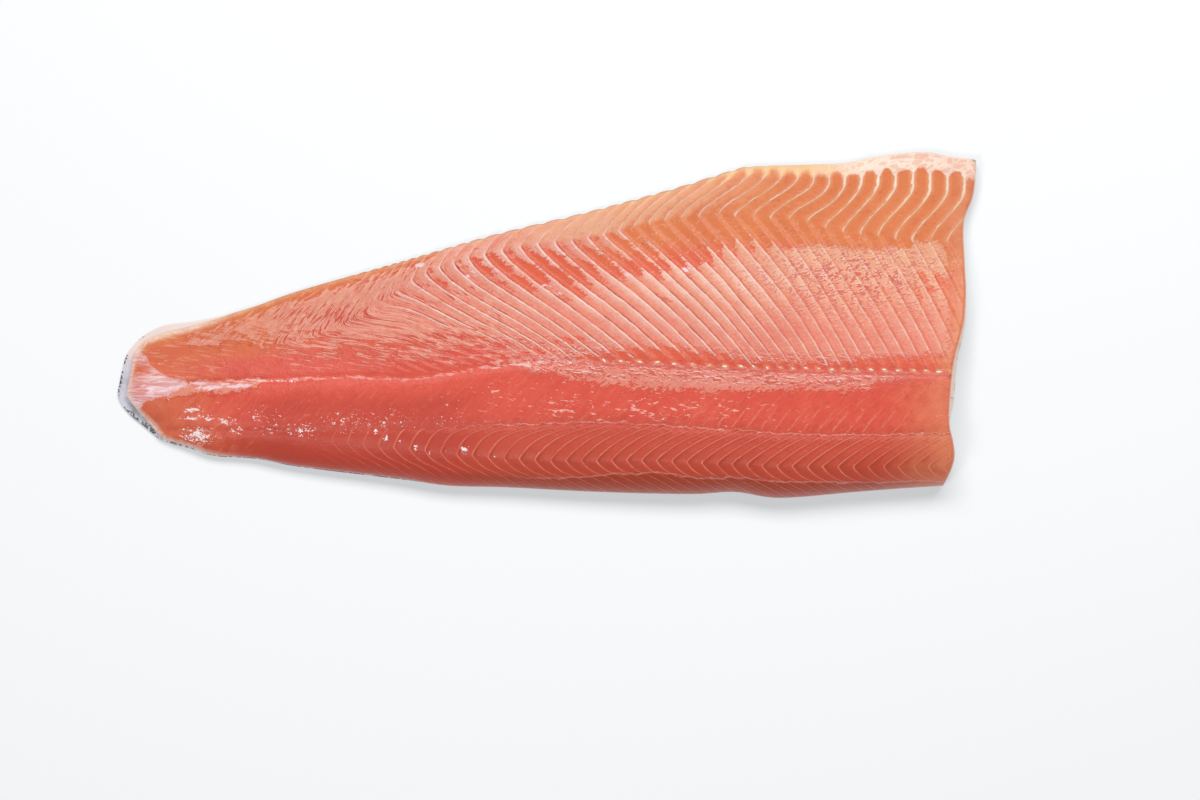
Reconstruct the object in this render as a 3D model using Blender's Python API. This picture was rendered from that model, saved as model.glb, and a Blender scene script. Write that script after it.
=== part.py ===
"""Trout fillet, skin side down: one solid of flesh with its flakes as relief, on the sheet of its skin.

Metres, +Z up. +X points to the cut at the head end, +Y to the belly edge, and the skin lies on Z = 0.
Run with: blender --background --python part.py
"""

import bmesh
import bpy
import numpy as np
from mathutils import Vector
from mathutils.geometry import delaunay_2d_cdt

# Driving dimensions, in metres.
LENGTH = 0.460
WIDTH = 0.1857
LOIN = 0.028
FLAP = 0.0095
SKIN = 0.0009
GAP = 0.0003
RELIEF = 0.0009
BACK_RELIEF = 0.0006
SEAM_DEPTH = 0.0005
SEAM_WIDTH = 0.0022

FLESH_COLOUR = (0.72, 0.16, 0.09)
SKIN_COLOUR = (0.45, 0.45, 0.46)

# How finely the solid is faceted, in metres.
EDGE_STEP = 0.0040
SKIN_STEP = 0.0052
LINE_STEP = 0.0074
BACK_LINE_STEP = 0.0054
SEAM_STEP = 0.0095
FILL_STEP = 0.0105
RIM_RINGS = (0.0012, 0.0034, 0.0072)
FILL_INSET = 0.009
MERGE = 0.0004

# A flake's profile: from its crest the surface drops to a groove this share of a flake further on. Flakes
# before the first are too faint to shape the net of triangles.
GROOVE = 0.17
FIRST_LINE = 14

# The outline, in four stretches. Each point is its share of the length from the tail, its share of the
# width from the back edge, and how far the skin shows past the flesh in metres: below 0, it is set back.
BELLY_EDGE = (
    (0.011, 0.421, 0.0032),
    (0.026, 0.462, 0.0028),
    (0.051, 0.496, 0.0040),
    (0.084, 0.508, 0.0026),
    (0.119, 0.525, 0.0008),
    (0.160, 0.554, -0.0008),
    (0.213, 0.600, -0.0008),
    (0.335, 0.687, -0.0008),
    (0.440, 0.762, -0.0008),
    (0.545, 0.825, -0.0008),
    (0.649, 0.895, -0.0008),
    (0.719, 0.949, -0.0008),
    (0.745, 0.959, -0.0008),
    (0.842, 0.967, -0.0008),
    (0.877, 0.984, -0.0008),
    (0.937, 1.000, -0.0008),
    (0.970, 0.987, -0.0008),
    (0.998, 0.978, -0.0008),
)
HEAD_CUT = (
    (1.000, 0.967, -0.0008),
    (0.997, 0.875, -0.0008),
    (0.986, 0.794, -0.0008),
    (0.987, 0.681, -0.0008),
    (0.989, 0.520, 0.0012),
    (0.979, 0.393, 0.0024),
    (0.975, 0.283, 0.0028),
    (0.970, 0.211, 0.0008),
    (0.974, 0.115, -0.0008),
    (0.962, 0.035, -0.0008),
)
BACK_EDGE = (
    (0.911, 0.027, -0.0008),
    (0.859, 0.017, -0.0008),
    (0.772, 0.000, -0.0008),
    (0.719, 0.017, -0.0008),
    (0.667, 0.011, -0.0008),
    (0.562, 0.017, -0.0008),
    (0.457, 0.030, -0.0008),
    (0.387, 0.035, -0.0008),
    (0.335, 0.052, 0.0004),
    (0.213, 0.089, 0.0004),
    (0.160, 0.113, 0.0004),
    (0.112, 0.121, 0.0005),
    (0.084, 0.141, 0.0010),
    (0.050, 0.167, 0.0015),
)
TAIL_END = (
    (0.038, 0.196, 0.0028),
    (0.015, 0.237, 0.0046),
    (0.000, 0.289, 0.0050),
    (0.002, 0.341, 0.0048),
    (0.007, 0.396, 0.0042),
)

# Guide lines along the fillet, as shares of the length and of the width: where the flakes bend on the belly
# side, the row of pin bones, the seam above the back muscle and the tips of the back muscle's chevrons.
BELLY_BEND = (
    (0.000, 0.395),
    (0.120, 0.425),
    (0.200, 0.452),
    (0.250, 0.490),
    (0.310, 0.568),
    (0.342, 0.630),
    (0.394, 0.684),
    (0.451, 0.719),
    (0.567, 0.763),
    (0.603, 0.787),
    (0.645, 0.806),
    (0.750, 0.811),
    (0.790, 0.803),
    (0.843, 0.770),
    (0.886, 0.758),
    (0.930, 0.744),
    (1.000, 0.733),
)
PIN_BONES = (
    (0.038, 0.318),
    (0.154, 0.338),
    (0.270, 0.348),
    (0.365, 0.349),
    (0.405, 0.366),
    (0.446, 0.381),
    (0.500, 0.391),
    (0.562, 0.392),
    (0.737, 0.375),
    (1.000, 0.360),
)
BACK_SEAM = (
    (0.250, 0.192),
    (0.370, 0.205),
    (0.446, 0.211),
    (0.562, 0.219),
    (0.679, 0.203),
    (0.795, 0.186),
    (1.000, 0.190),
)
BACK_TIPS = (
    (0.213, 0.176),
    (0.304, 0.152),
    (0.361, 0.137),
    (0.430, 0.121),
    (0.480, 0.112),
    (0.620, 0.110),
    (0.750, 0.095),
    (1.000, 0.092),
)

# How many flakes lie between the tail and each share of the length, on the belly side and on the back.
BELLY_COUNT = (
    (0.000, 0),
    (0.343, 20),
    (0.409, 24),
    (0.490, 28),
    (0.567, 32),
    (0.637, 36),
    (0.719, 40),
    (0.803, 44),
    (0.886, 48),
    (0.966, 52),
    (1.000, 53.7),
)
BACK_COUNT = ((0.000, 0), (0.304, 17), (0.522, 29), (0.732, 41), (0.943, 53), (1.000, 56.3))

# A belly-side flake's line, by share of the length: how far it runs towards the head between its bend and
# the pin bones, and how hollow that run is; then how far it runs, and rises, between its bend and the flap.
SLOPE_RUN = (
    (0.300, 0.0750),
    (0.620, 0.0737),
    (0.720, 0.0735),
    (0.790, 0.0686),
    (0.853, 0.0568),
    (0.931, 0.0461),
    (1.000, 0.0340),
)
SLOPE_HOLLOW = ((0.420, 1.35), (0.515, 1.20), (0.620, 1.10), (0.702, 1.00))
FLAP_RUN = ((0.300, 0.0262), (0.760, 0.0262), (0.860, 0.0198), (1.000, 0.0185))
FLAP_RISE = ((0.300, 0.0262), (0.760, 0.0235), (0.810, 0.0228), (0.860, 0.0268), (1.000, 0.0275))
FLAP_SWAY = 0.65

# A chevron of the back muscle: how high its upper arm would reach and how fast it bends along the fillet,
# by share of the length; the same for its lower arm; and the lean of its ends past the seam and the arm.
ARM_REACH = ((0.380, 0.0145), (0.440, 0.0172), (0.590, 0.0257), (0.800, 0.0320))
ARM_BEND = ((0.380, 0.0048), (0.440, 0.0080), (0.590, 0.0241), (0.800, 0.0350))
LOWER_REACH = 0.0096
LOWER_BEND = 0.0064
LOWER_ARM = 0.0082
LEAN_UP = 0.8
LEAN_DOWN = 2.0

# The thickness of the loin and of the flap along the fillet, as shares of their full values, and how far
# past the pin bones the loin is highest.
LOIN_SHARE = (
    (0.000, 0.26),
    (0.060, 0.36),
    (0.150, 0.50),
    (0.300, 0.66),
    (0.500, 0.82),
    (0.750, 0.96),
    (1.000, 1.00),
)
FLAP_SHARE = ((0.000, 0.50), (0.150, 0.80), (0.350, 0.92), (0.650, 0.86), (1.000, 1.00))
CREST_PAST_BONES = 0.012
FLAP_FOOT = 0.004

# Where the flakes start to show and are at their full depth, as shares of the length; how much shallower
# they are on the flap; and how far from the rim and from the seams they are at their full depth, in metres.
FLAKES_FROM = 0.27
FLAKES_FULL = 0.40
FLAP_FAINTER = 0.4
FADE_AT_RIM = 0.004
FADE_AT_SEAM = 0.005

# The rounding of each edge: its width in metres, and the share of the height left at the rim.
BELLY_ROUND = (0.0070, 0.34)
HEAD_ROUND = (0.0016, 0.80)
BACK_ROUND = (0.0220, 0.20)
TAIL_ROUND = (0.0110, 0.40)


def clear_scene():
    """Empties the scene of every object."""
    for obj in list(bpy.data.objects):
        bpy.data.objects.remove(obj, do_unlink=True)


def spot(x_share, y_share):
    """The place of a pair of shares of the length and of the width, in metres."""
    return (x_share - 0.5) * LENGTH, (y_share - 0.5) * WIDTH


def smooth_through(xs, ys, at):
    """A smooth line through a few points, level with the first and the last beyond them."""
    xs, ys, at = np.array(xs), np.array(ys), np.clip(at, xs[0], xs[-1])
    slopes = np.gradient(ys, xs)
    i = np.clip(np.searchsorted(xs, at) - 1, 0, len(xs) - 2)
    width = xs[i + 1] - xs[i]
    t = (at - xs[i]) / width
    start = ys[i] * (1 + 2 * t) * (1 - t) ** 2 + slopes[i] * width * t * (1 - t) ** 2
    end = ys[i + 1] * t**2 * (3 - 2 * t) - slopes[i + 1] * width * t**2 * (1 - t)
    return start + end


def guide(points, x):
    """The Y of a guide line at X."""
    xs, ys = zip(*(spot(*point) for point in points))
    return smooth_through(xs, ys, x)


def along(points, x):
    """The value at X of a curve given by shares of the length."""
    shares, values = zip(*points)
    return smooth_through(shares, values, x / LENGTH + 0.5)


def ease(x, start, full):
    """0 before start, 1 past full, and a smooth step between."""
    t = np.clip((x - start) / (full - start), 0, 1)
    return t * t * (3 - 2 * t)


def resampled(points, step):
    """Points at even steps of length along a line, keeping its two ends."""
    points = np.array(points)
    run = np.concatenate([[0], np.cumsum(np.linalg.norm(np.diff(points[:, :2], axis=0), axis=1))])
    at = np.linspace(0, run[-1], max(2, round(run[-1] / step) + 1))
    return np.stack([np.interp(at, run, column) for column in points.T], axis=1)


def curved(points, fine=12):
    """A curve through the points of one stretch of the outline (Catmull-Rom)."""
    points = np.array([(*spot(x, y), show) for x, y, show in points])
    padded = np.concatenate([points[:1], points, points[-1:]])
    found = []
    for a, b, c, d in zip(padded, padded[1:], padded[2:], padded[3:]):
        for t in np.arange(fine) / fine:
            bend = (2 * a - 5 * b + 4 * c - d) * t**2 + (3 * b - a - 3 * c + d) * t**3
            found.append((2 * b + (c - a) * t + bend) / 2)
    return [*found, points[-1]]


def outline(step):
    """The outline as a closed clockwise line and as its stretches, with how far the skin shows."""
    tail = (*TAIL_END, BELLY_EDGE[0])
    belly = (*BELLY_EDGE, HEAD_CUT[0])
    back = (HEAD_CUT[-1], *BACK_EDGE, TAIL_END[0])
    stretches = [resampled(curved(part), step) for part in (belly, HEAD_CUT, back, tail)]
    return np.concatenate([part[:-1] for part in stretches]), stretches


def inset(line, widths):
    """A closed clockwise line moved inwards by a width at each point."""
    run = np.roll(line, -1, axis=0) - np.roll(line, 1, axis=0)
    inward = np.stack([run[:, 1], -run[:, 0]], axis=1)
    return line + inward / np.linalg.norm(inward, axis=1)[:, None] * np.array(widths)[:, None]


def flesh_line(step):
    """The rim of the flesh: the outline, drawn in where the skin shows past it."""
    line, _ = outline(step)
    return inset(line[:, :2], np.maximum(line[:, 2], 0))


def skin_line(step):
    """The rim of the skin: the outline, drawn in where the flesh hides it."""
    line, _ = outline(step)
    return inset(line[:, :2], np.maximum(-line[:, 2], 0))


def distance_to(line, x, y):
    """How far each place is from an open line."""
    nearest = np.full(np.shape(x), 1.0)
    for (ax, ay), (bx, by) in zip(line[:-1, :2], line[1:, :2]):
        dx, dy = bx - ax, by - ay
        t = np.clip(((x - ax) * dx + (y - ay) * dy) / (dx * dx + dy * dy), 0, 1)
        nearest = np.minimum(nearest, np.hypot(x - ax - t * dx, y - ay - t * dy))
    return nearest


def belly_shift(x, height):
    """How far along X a belly-side flake's line lies from its bend, at a height above or below it."""
    flap = np.clip(height / along(FLAP_RISE, x), 0, 1)
    swayed = (1 - FLAP_SWAY) * flap + FLAP_SWAY * ease(flap, 0, 1)
    slope = np.clip(-height / (guide(BELLY_BEND, x) - guide(PIN_BONES, x)), 0, 1)
    return along(FLAP_RUN, x) * swayed + along(SLOPE_RUN, x) * slope ** along(SLOPE_HOLLOW, x)


def back_shift(x, height):
    """How far along X a chevron's line lies from its tip, at a height above (or below) the tip."""
    seam = guide(BACK_SEAM, x) - guide(BACK_TIPS, x)
    upper = np.clip(height, 0, np.minimum(seam, 0.9 * along(ARM_REACH, x)))
    lower = np.clip(-height, 0, LOWER_ARM)
    arms = along(ARM_BEND, x) * np.log(1 - upper / along(ARM_REACH, x))
    arms += LOWER_BEND * np.log(1 - lower / LOWER_REACH)
    past_seam = np.maximum(height, 0) - upper
    past_arm = np.maximum(-height, 0) - lower
    return LEAN_UP * past_seam + LEAN_DOWN * past_arm - arms


def belly_phase(x, y):
    """The belly-side flakes counted from the tail, whole on each flake's line."""
    return along(BELLY_COUNT, x - belly_shift(x, y - guide(BELLY_BEND, x)))


def back_phase(x, y):
    """The back muscle's flakes counted from the tail, whole on each chevron."""
    return along(BACK_COUNT, x - back_shift(x, y - guide(BACK_TIPS, x)))


def flake_profile(phase):
    """One flake's height, -0.5 to 0.5: a crest on its line, a groove just past it, then a long rise."""
    share = phase % 1
    drop = 0.5 - share / GROOVE
    rise = (share - GROOVE) / (1 - GROOVE) - 0.5
    return np.where(share < GROOVE, drop, rise)


def relief(x, y):
    """The flakes and the seams on the surface of the flesh."""
    shows = ease(x / LENGTH + 0.5, FLAKES_FROM, FLAKES_FULL)
    past_bones = y - guide(PIN_BONES, x)
    past_seam = guide(BACK_SEAM, x) - y
    past_bend = y - guide(BELLY_BEND, x)
    on_flap = 1 - FLAP_FAINTER * ease(past_bend, 0, FADE_AT_SEAM)
    flakes = RELIEF * on_flap * ease(past_bones, 0, FADE_AT_SEAM) * flake_profile(belly_phase(x, y))
    chevrons = BACK_RELIEF * ease(past_seam, 0, FADE_AT_SEAM) * flake_profile(back_phase(x, y))
    seams = np.exp(-((past_bones / SEAM_WIDTH) ** 2)) + np.exp(-((past_seam / SEAM_WIDTH) ** 2))
    return shows * (flakes + chevrons) - SEAM_DEPTH * seams


def rounded(distance, edge):
    """The share of the height left at a distance from a rounded edge: a quarter of an ellipse."""
    width, rim = edge
    inner = 1 - np.clip(distance / width, 0, 1)
    return rim + (1 - rim) * np.sqrt(1 - inner**2)


def flesh_top(x, y, stretches):
    """The height of the flesh: a thick loin, a thin flap, rounded edges and the flakes."""
    loin = LOIN * along(LOIN_SHARE, x)
    flap = FLAP * along(FLAP_SHARE, x)
    bones, belly = guide(PIN_BONES, x), guide(BELLY_BEND, x)
    foot = belly + FLAP_FOOT
    climb = ease(foot - y, 0, foot - bones + CREST_PAST_BONES)
    height = np.minimum(flap, loin) * (1 - climb) + loin * climb
    for line, edge in zip(stretches, (BELLY_ROUND, HEAD_ROUND, BACK_ROUND, TAIL_ROUND)):
        height = height * rounded(distance_to(line, x, y), edge)
    inner = np.min([distance_to(line, x, y) for line in stretches], axis=0)
    return SKIN + GAP + height + relief(x, y) * ease(inner, 0, FADE_AT_RIM)


def flake_line(place, shift, base, heights):
    """One flake's line through the given heights over its base line, from where it bends."""
    x = np.full(len(heights), place)
    for _ in range(20):
        x = place + shift(x, heights)
    return x, guide(base, x) + heights


def flake_lines(counts, shift, base, heights):
    """The line of each flake's crest and of its groove."""
    shares = np.linspace(0, 1, 400)
    at_shares = along(counts, (shares - 0.5) * LENGTH)
    for count in range(FIRST_LINE, int(counts[-1][1]) + 1):
        for share in (0, GROOVE):
            place = (np.interp(count + share, at_shares, shares) - 0.5) * LENGTH
            yield flake_line(place, shift, base, heights)


def belly_lines():
    """The lines of the belly-side flakes, from the belly edge down to the pin bones."""
    for x, y in flake_lines(BELLY_COUNT, belly_shift, BELLY_BEND, np.linspace(0.055, -0.080, 90)):
        keep = y > guide(PIN_BONES, x)
        yield resampled(np.stack([x, y], axis=1)[keep], LINE_STEP)


def back_lines():
    """The lines of the back muscle's chevrons, from the seam down to the back edge."""
    for x, y in flake_lines(BACK_COUNT, back_shift, BACK_TIPS, np.linspace(0.022, -0.022, 60)):
        keep = y < guide(BACK_SEAM, x)
        yield resampled(np.stack([x, y], axis=1)[keep], BACK_LINE_STEP)


def seam_lines():
    """The row of pin bones and the back seam, each as the bottom of a groove and its two sides."""
    xs = np.linspace(*(np.array(BACK_SEAM)[[0, -1], 0] - 0.5) * LENGTH, 60)
    for seam in (PIN_BONES, BACK_SEAM):
        for side in (-SEAM_WIDTH, 0, SEAM_WIDTH):
            yield resampled(np.stack([xs, guide(seam, xs) + side], axis=1), SEAM_STEP)


def inside(line, x, y):
    """Whether each place lies inside a closed line."""
    crossings = np.zeros(np.shape(x), int)
    for (ax, ay), (bx, by) in zip(line, np.roll(line, -1, axis=0)):
        if ay != by:
            spans = (ay > y) != (by > y)
            crossings += spans & (x < ax + (bx - ax) * (y - ay) / (by - ay))
    return crossings % 2 == 1


def lattice(rim):
    """Evenly spread places well inside the rim, in staggered rows."""
    found = []
    for row, y in enumerate(np.arange(-WIDTH / 2, WIDTH / 2, FILL_STEP * 0.866)):
        xs = np.arange(-LENGTH / 2, LENGTH / 2, FILL_STEP) + (row % 2) * FILL_STEP / 2
        found += [(x, y) for x in xs]
    places = np.array(found)
    keep = inside(inset(rim, [FILL_INSET] * len(rim)), places[:, 0], places[:, 1])
    return places[keep]


def flat_net(rim):
    """The plan of the flesh cut into triangles, whose edges follow the rim and every flake."""
    points, edges = [Vector(p) for p in rim], []
    for depth in RIM_RINGS:
        points += [Vector(p) for p in inset(rim, [depth] * len(rim))]
    points += [Vector(p) for p in lattice(rim)]
    kept = inset(rim, [RIM_RINGS[0]] * len(rim))
    for line in [*belly_lines(), *back_lines(), *seam_lines()]:
        within = inside(kept, line[:, 0], line[:, 1])
        for (a, b), (start, end) in zip(zip(line, line[1:]), zip(within, within[1:])):
            if start and end:
                edges.append((len(points), len(points) + 1))
                points += [Vector(a), Vector(b)]
    face = [list(range(len(rim)))]
    places, _, triangles, *_ = delaunay_2d_cdt(points, edges, face, 1, MERGE)
    return places, triangles


def material(name, colour, roughness):
    """A surface of one colour."""
    found = bpy.data.materials.new(name)
    found.use_nodes = True
    shader = found.node_tree.nodes["Principled BSDF"]
    shader.inputs["Base Color"].default_value = (*colour, 1)
    shader.inputs["Roughness"].default_value = roughness
    shader.inputs["Metallic"].default_value = 0
    return found


def add_object(name, data, surface, collection):
    """A new object of the given shape and material, in the fillet's collection."""
    obj = bpy.data.objects.new(name, data)
    data.materials.append(surface)
    collection.objects.link(obj)
    return obj


def drawn_in(stretch):
    """One stretch of the outline, drawn in to the rim of the flesh."""
    run = np.gradient(stretch[:, :2], axis=0)
    inward = np.stack([run[:, 1], -run[:, 0]], axis=1)
    inward /= np.linalg.norm(inward, axis=1)[:, None]
    return stretch[:, :2] + inward * np.maximum(stretch[:, 2:], 0)


def flesh(collection):
    """The flesh: its plan raised to the height of the surface, with its sides drawn down to a flat base."""
    stretches = [drawn_in(stretch) for stretch in outline(EDGE_STEP)[1]]
    places, triangles = flat_net(flesh_line(EDGE_STEP))
    x, y = np.array(places).T
    bm = bmesh.new()
    corners = [bm.verts.new(corner) for corner in zip(x, y, flesh_top(x, y, stretches))]
    for triangle in triangles:
        bm.faces.new([corners[i] for i in triangle])
    rim_edges = [edge for edge in bm.edges if edge.is_boundary]
    sides = bmesh.ops.extrude_edge_only(bm, edges=rim_edges)["geom"]
    for part in sides:
        if isinstance(part, bmesh.types.BMVert):
            part.co.z = SKIN + GAP
    bmesh.ops.holes_fill(bm, edges=[edge for edge in bm.edges if edge.is_boundary])
    bmesh.ops.recalc_face_normals(bm, faces=bm.faces)
    bmesh.ops.triangulate(bm, faces=bm.faces)
    mesh = bpy.data.meshes.new("flesh")
    bm.to_mesh(mesh)
    bm.free()
    return add_object("flesh", mesh, material("trout_flesh", FLESH_COLOUR, 0.25), collection)


def skin(collection):
    """The skin: a thin sheet of the outline's own shape under the flesh."""
    line = skin_line(SKIN_STEP)
    data = bpy.data.curves.new("skin", "CURVE")
    data.dimensions = "2D"
    data.fill_mode = "BOTH"
    data.extrude = SKIN / 2
    spline = data.splines.new("POLY")
    spline.points.add(len(line) - 1)
    for point, (x, y) in zip(spline.points, line):
        point.co = (x, y, 0, 1)
    spline.use_cyclic_u = True
    obj = add_object("skin", data, material("trout_skin", SKIN_COLOUR, 0.3), collection)
    obj.location.z = SKIN / 2
    return obj


def main():
    clear_scene()
    collection = bpy.data.collections.new("trout_fillet")
    bpy.context.scene.collection.children.link(collection)
    flesh(collection)
    skin(collection)


if __name__ == "__main__":
    main()
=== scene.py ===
"""Trout fillet, skin side down: its flesh with flakes and a wet film with a painted sheen, its skin and its
row of pin bones.

Metres, +Z up. +X points to the cut at the head end, +Y to the belly edge, and the skin lies on Z = 0.
"""

from functools import partialmethod

import bmesh
import bpy
import numpy as np
from bpy.props import FloatProperty, FloatVectorProperty, IntProperty, PointerProperty
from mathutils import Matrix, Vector


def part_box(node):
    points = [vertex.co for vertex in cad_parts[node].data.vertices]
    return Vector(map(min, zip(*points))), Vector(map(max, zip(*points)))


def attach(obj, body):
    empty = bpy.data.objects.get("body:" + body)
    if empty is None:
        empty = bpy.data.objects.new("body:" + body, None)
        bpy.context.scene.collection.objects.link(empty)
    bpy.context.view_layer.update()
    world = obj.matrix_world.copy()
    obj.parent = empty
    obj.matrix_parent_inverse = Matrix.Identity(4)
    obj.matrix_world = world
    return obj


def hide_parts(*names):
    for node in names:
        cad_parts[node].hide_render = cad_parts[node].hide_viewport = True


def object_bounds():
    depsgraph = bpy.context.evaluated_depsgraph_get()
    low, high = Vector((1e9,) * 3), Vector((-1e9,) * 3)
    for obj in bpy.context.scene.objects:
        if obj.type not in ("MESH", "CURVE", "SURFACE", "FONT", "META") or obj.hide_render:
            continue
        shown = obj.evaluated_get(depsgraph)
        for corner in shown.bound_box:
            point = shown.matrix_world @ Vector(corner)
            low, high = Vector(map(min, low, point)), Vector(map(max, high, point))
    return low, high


bl_info = {
    "name": "Trout Fillet",
    "version": (1, 0, 0),
    "blender": (4, 5, 0),
    "location": "3D View > Sidebar > Fillet",
    "description": "Dresses a trout fillet: flesh with flakes, skin, pin bones and a plain stage",
    "category": "Add Mesh",
}

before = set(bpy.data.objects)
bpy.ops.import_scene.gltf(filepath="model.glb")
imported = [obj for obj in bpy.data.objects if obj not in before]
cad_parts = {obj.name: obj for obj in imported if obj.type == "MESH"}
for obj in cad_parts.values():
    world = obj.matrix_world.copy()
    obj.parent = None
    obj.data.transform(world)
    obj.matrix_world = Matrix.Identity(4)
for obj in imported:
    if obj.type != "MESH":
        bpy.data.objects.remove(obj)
CAD_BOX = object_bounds()
LENGTH = CAD_BOX[1].x - CAD_BOX[0].x
WIDTH = CAD_BOX[1].y - CAD_BOX[0].y
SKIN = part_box("skin")[1].z
MM = 1000

# The form in metres, as the frame has it: the height of the loin and of the flap, the gap over the skin, the
# relief of the flakes and of the chevrons, and the seams. A flake's groove takes a share of it.
LOIN = 0.028
FLAP = 0.0095
GAP = 0.0003
RELIEF = 0.0009
BACK_RELIEF = 0.0006
SEAM_DEPTH = 0.0005
SEAM_WIDTH = 0.0022
GROOVE = 0.17

# The outline, in four stretches. Each point is its share of the length from the tail, its share of the
# width from the back edge and, where the skin shows past the flesh, how far it does in metres. Elsewhere the
# skin is set back.
SET_BACK = 0.0008
BELLY_EDGE = (
    (0.011, 0.421, 0.0032), (0.026, 0.462, 0.0028), (0.051, 0.496, 0.004), (0.084, 0.508, 0.0026),
    (0.119, 0.525, 0.0008), (0.16, 0.554), (0.213, 0.6), (0.335, 0.687), (0.44, 0.762), (0.545, 0.825),
    (0.649, 0.895), (0.719, 0.949), (0.745, 0.959), (0.842, 0.967), (0.877, 0.984), (0.937, 1.0),
    (0.97, 0.987), (0.998, 0.978),
)
HEAD_CUT = (
    (1.0, 0.967), (0.997, 0.875), (0.986, 0.794), (0.987, 0.681), (0.989, 0.52, 0.0012),
    (0.979, 0.393, 0.0024), (0.975, 0.283, 0.0028), (0.97, 0.211, 0.0008), (0.974, 0.115), (0.962, 0.035),
)
BACK_EDGE = (
    (0.911, 0.027), (0.859, 0.017), (0.772, 0.0), (0.719, 0.017), (0.667, 0.011), (0.562, 0.017),
    (0.457, 0.03), (0.387, 0.035), (0.335, 0.052, 0.0004), (0.213, 0.089, 0.0004), (0.16, 0.113, 0.0004),
    (0.112, 0.121, 0.0005), (0.084, 0.141, 0.001), (0.05, 0.167, 0.0015),
)
TAIL_END = (
    (0.038, 0.196, 0.0028), (0.015, 0.237, 0.0046), (0.0, 0.289, 0.005), (0.002, 0.341, 0.0048),
    (0.007, 0.396, 0.0042),
)

# Guide lines along the fillet, as shares of the length and of the width: where the flakes bend on the belly
# side, the row of pin bones, the seam above the back muscle and the tips of the back muscle's chevrons.
BELLY_BEND = (
    (0.0, 0.395), (0.12, 0.425), (0.2, 0.452), (0.25, 0.49), (0.31, 0.568), (0.342, 0.63), (0.394, 0.684),
    (0.451, 0.719), (0.567, 0.763), (0.603, 0.787), (0.645, 0.806), (0.75, 0.811), (0.79, 0.803),
    (0.843, 0.77), (0.886, 0.758), (0.93, 0.744), (1.0, 0.733),
)
PIN_BONES = (
    (0.038, 0.318), (0.154, 0.338), (0.27, 0.348), (0.365, 0.349), (0.405, 0.366), (0.446, 0.381),
    (0.5, 0.391), (0.562, 0.392), (0.737, 0.375), (1.0, 0.36),
)
BACK_SEAM = (
    (0.25, 0.192), (0.37, 0.205), (0.446, 0.211), (0.562, 0.219), (0.679, 0.203), (0.795, 0.186),
    (1.0, 0.19),
)
BACK_TIPS = (
    (0.213, 0.176), (0.304, 0.152), (0.361, 0.137), (0.43, 0.121), (0.48, 0.112), (0.62, 0.11),
    (0.75, 0.095), (1.0, 0.092),
)

# How many flakes lie between the tail and each share of the length, on the belly side and on the back.
BELLY_COUNT = (
    (0.0, 0), (0.343, 20), (0.409, 24), (0.49, 28), (0.567, 32), (0.637, 36), (0.719, 40), (0.803, 44),
    (0.886, 48), (0.966, 52), (1.0, 53.7),
)
BACK_COUNT = ((0.0, 0), (0.304, 17), (0.522, 29), (0.732, 41), (0.943, 53), (1.0, 56.3))

# A belly-side flake's line, by share of the length: how far it runs towards the head between its bend and
# the pin bones, and how hollow that run is; then how far it runs, and rises, between its bend and the flap.
SLOPE_RUN = (
    (0.3, 0.075), (0.62, 0.0737), (0.72, 0.0735), (0.79, 0.0686), (0.853, 0.0568), (0.931, 0.0461),
    (1.0, 0.034),
)
SLOPE_HOLLOW = ((0.42, 1.35), (0.515, 1.2), (0.62, 1.1), (0.702, 1.0))
FLAP_RUN = ((0.3, 0.0262), (0.76, 0.0262), (0.86, 0.0198), (1.0, 0.0185))
FLAP_RISE = ((0.3, 0.0262), (0.76, 0.0235), (0.81, 0.0228), (0.86, 0.0268), (1.0, 0.0275))
FLAP_SWAY = 0.65

# A chevron of the back muscle: how high its upper arm would reach and how fast it bends along the fillet,
# by share of the length; the same for its lower arm; and the lean of its ends past the seam and the arm.
ARM_REACH = ((0.38, 0.0145), (0.44, 0.0172), (0.59, 0.0257), (0.8, 0.032))
ARM_BEND = ((0.38, 0.0048), (0.44, 0.008), (0.59, 0.0241), (0.8, 0.035))
LOWER_REACH = 0.0096
LOWER_BEND = 0.0064
LOWER_ARM = 0.0082
LEAN_UP = 0.8
LEAN_DOWN = 2.0

# The thickness of the loin and of the flap along the fillet, as shares of their full values, and how far
# past the pin bones the loin is highest.
LOIN_SHARE = ((0.0, 0.26), (0.06, 0.36), (0.15, 0.5), (0.3, 0.66), (0.5, 0.82), (0.75, 0.96), (1.0, 1.0))
FLAP_SHARE = ((0.0, 0.5), (0.15, 0.8), (0.35, 0.92), (0.65, 0.86), (1.0, 1.0))
CREST_PAST_BONES = 0.012
FLAP_FOOT = 0.004

# Where the flakes start to show and are at their full depth, as shares of the length; how much shallower
# they are on the flap; and how far from the rim and from the seams they are at their full depth, in metres.
FLAKES_FROM = 0.27
FLAKES_FULL = 0.4
FLAP_FAINTER = 0.4
FADE_AT_RIM = 0.004
FADE_AT_SEAM = 0.005

# The rounding of each edge: its width in metres, and the share of the height left at the rim.
BELLY_ROUND = (0.007, 0.34)
HEAD_ROUND = (0.0016, 0.8)
BACK_ROUND = (0.022, 0.2)
TAIL_ROUND = (0.011, 0.4)
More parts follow.
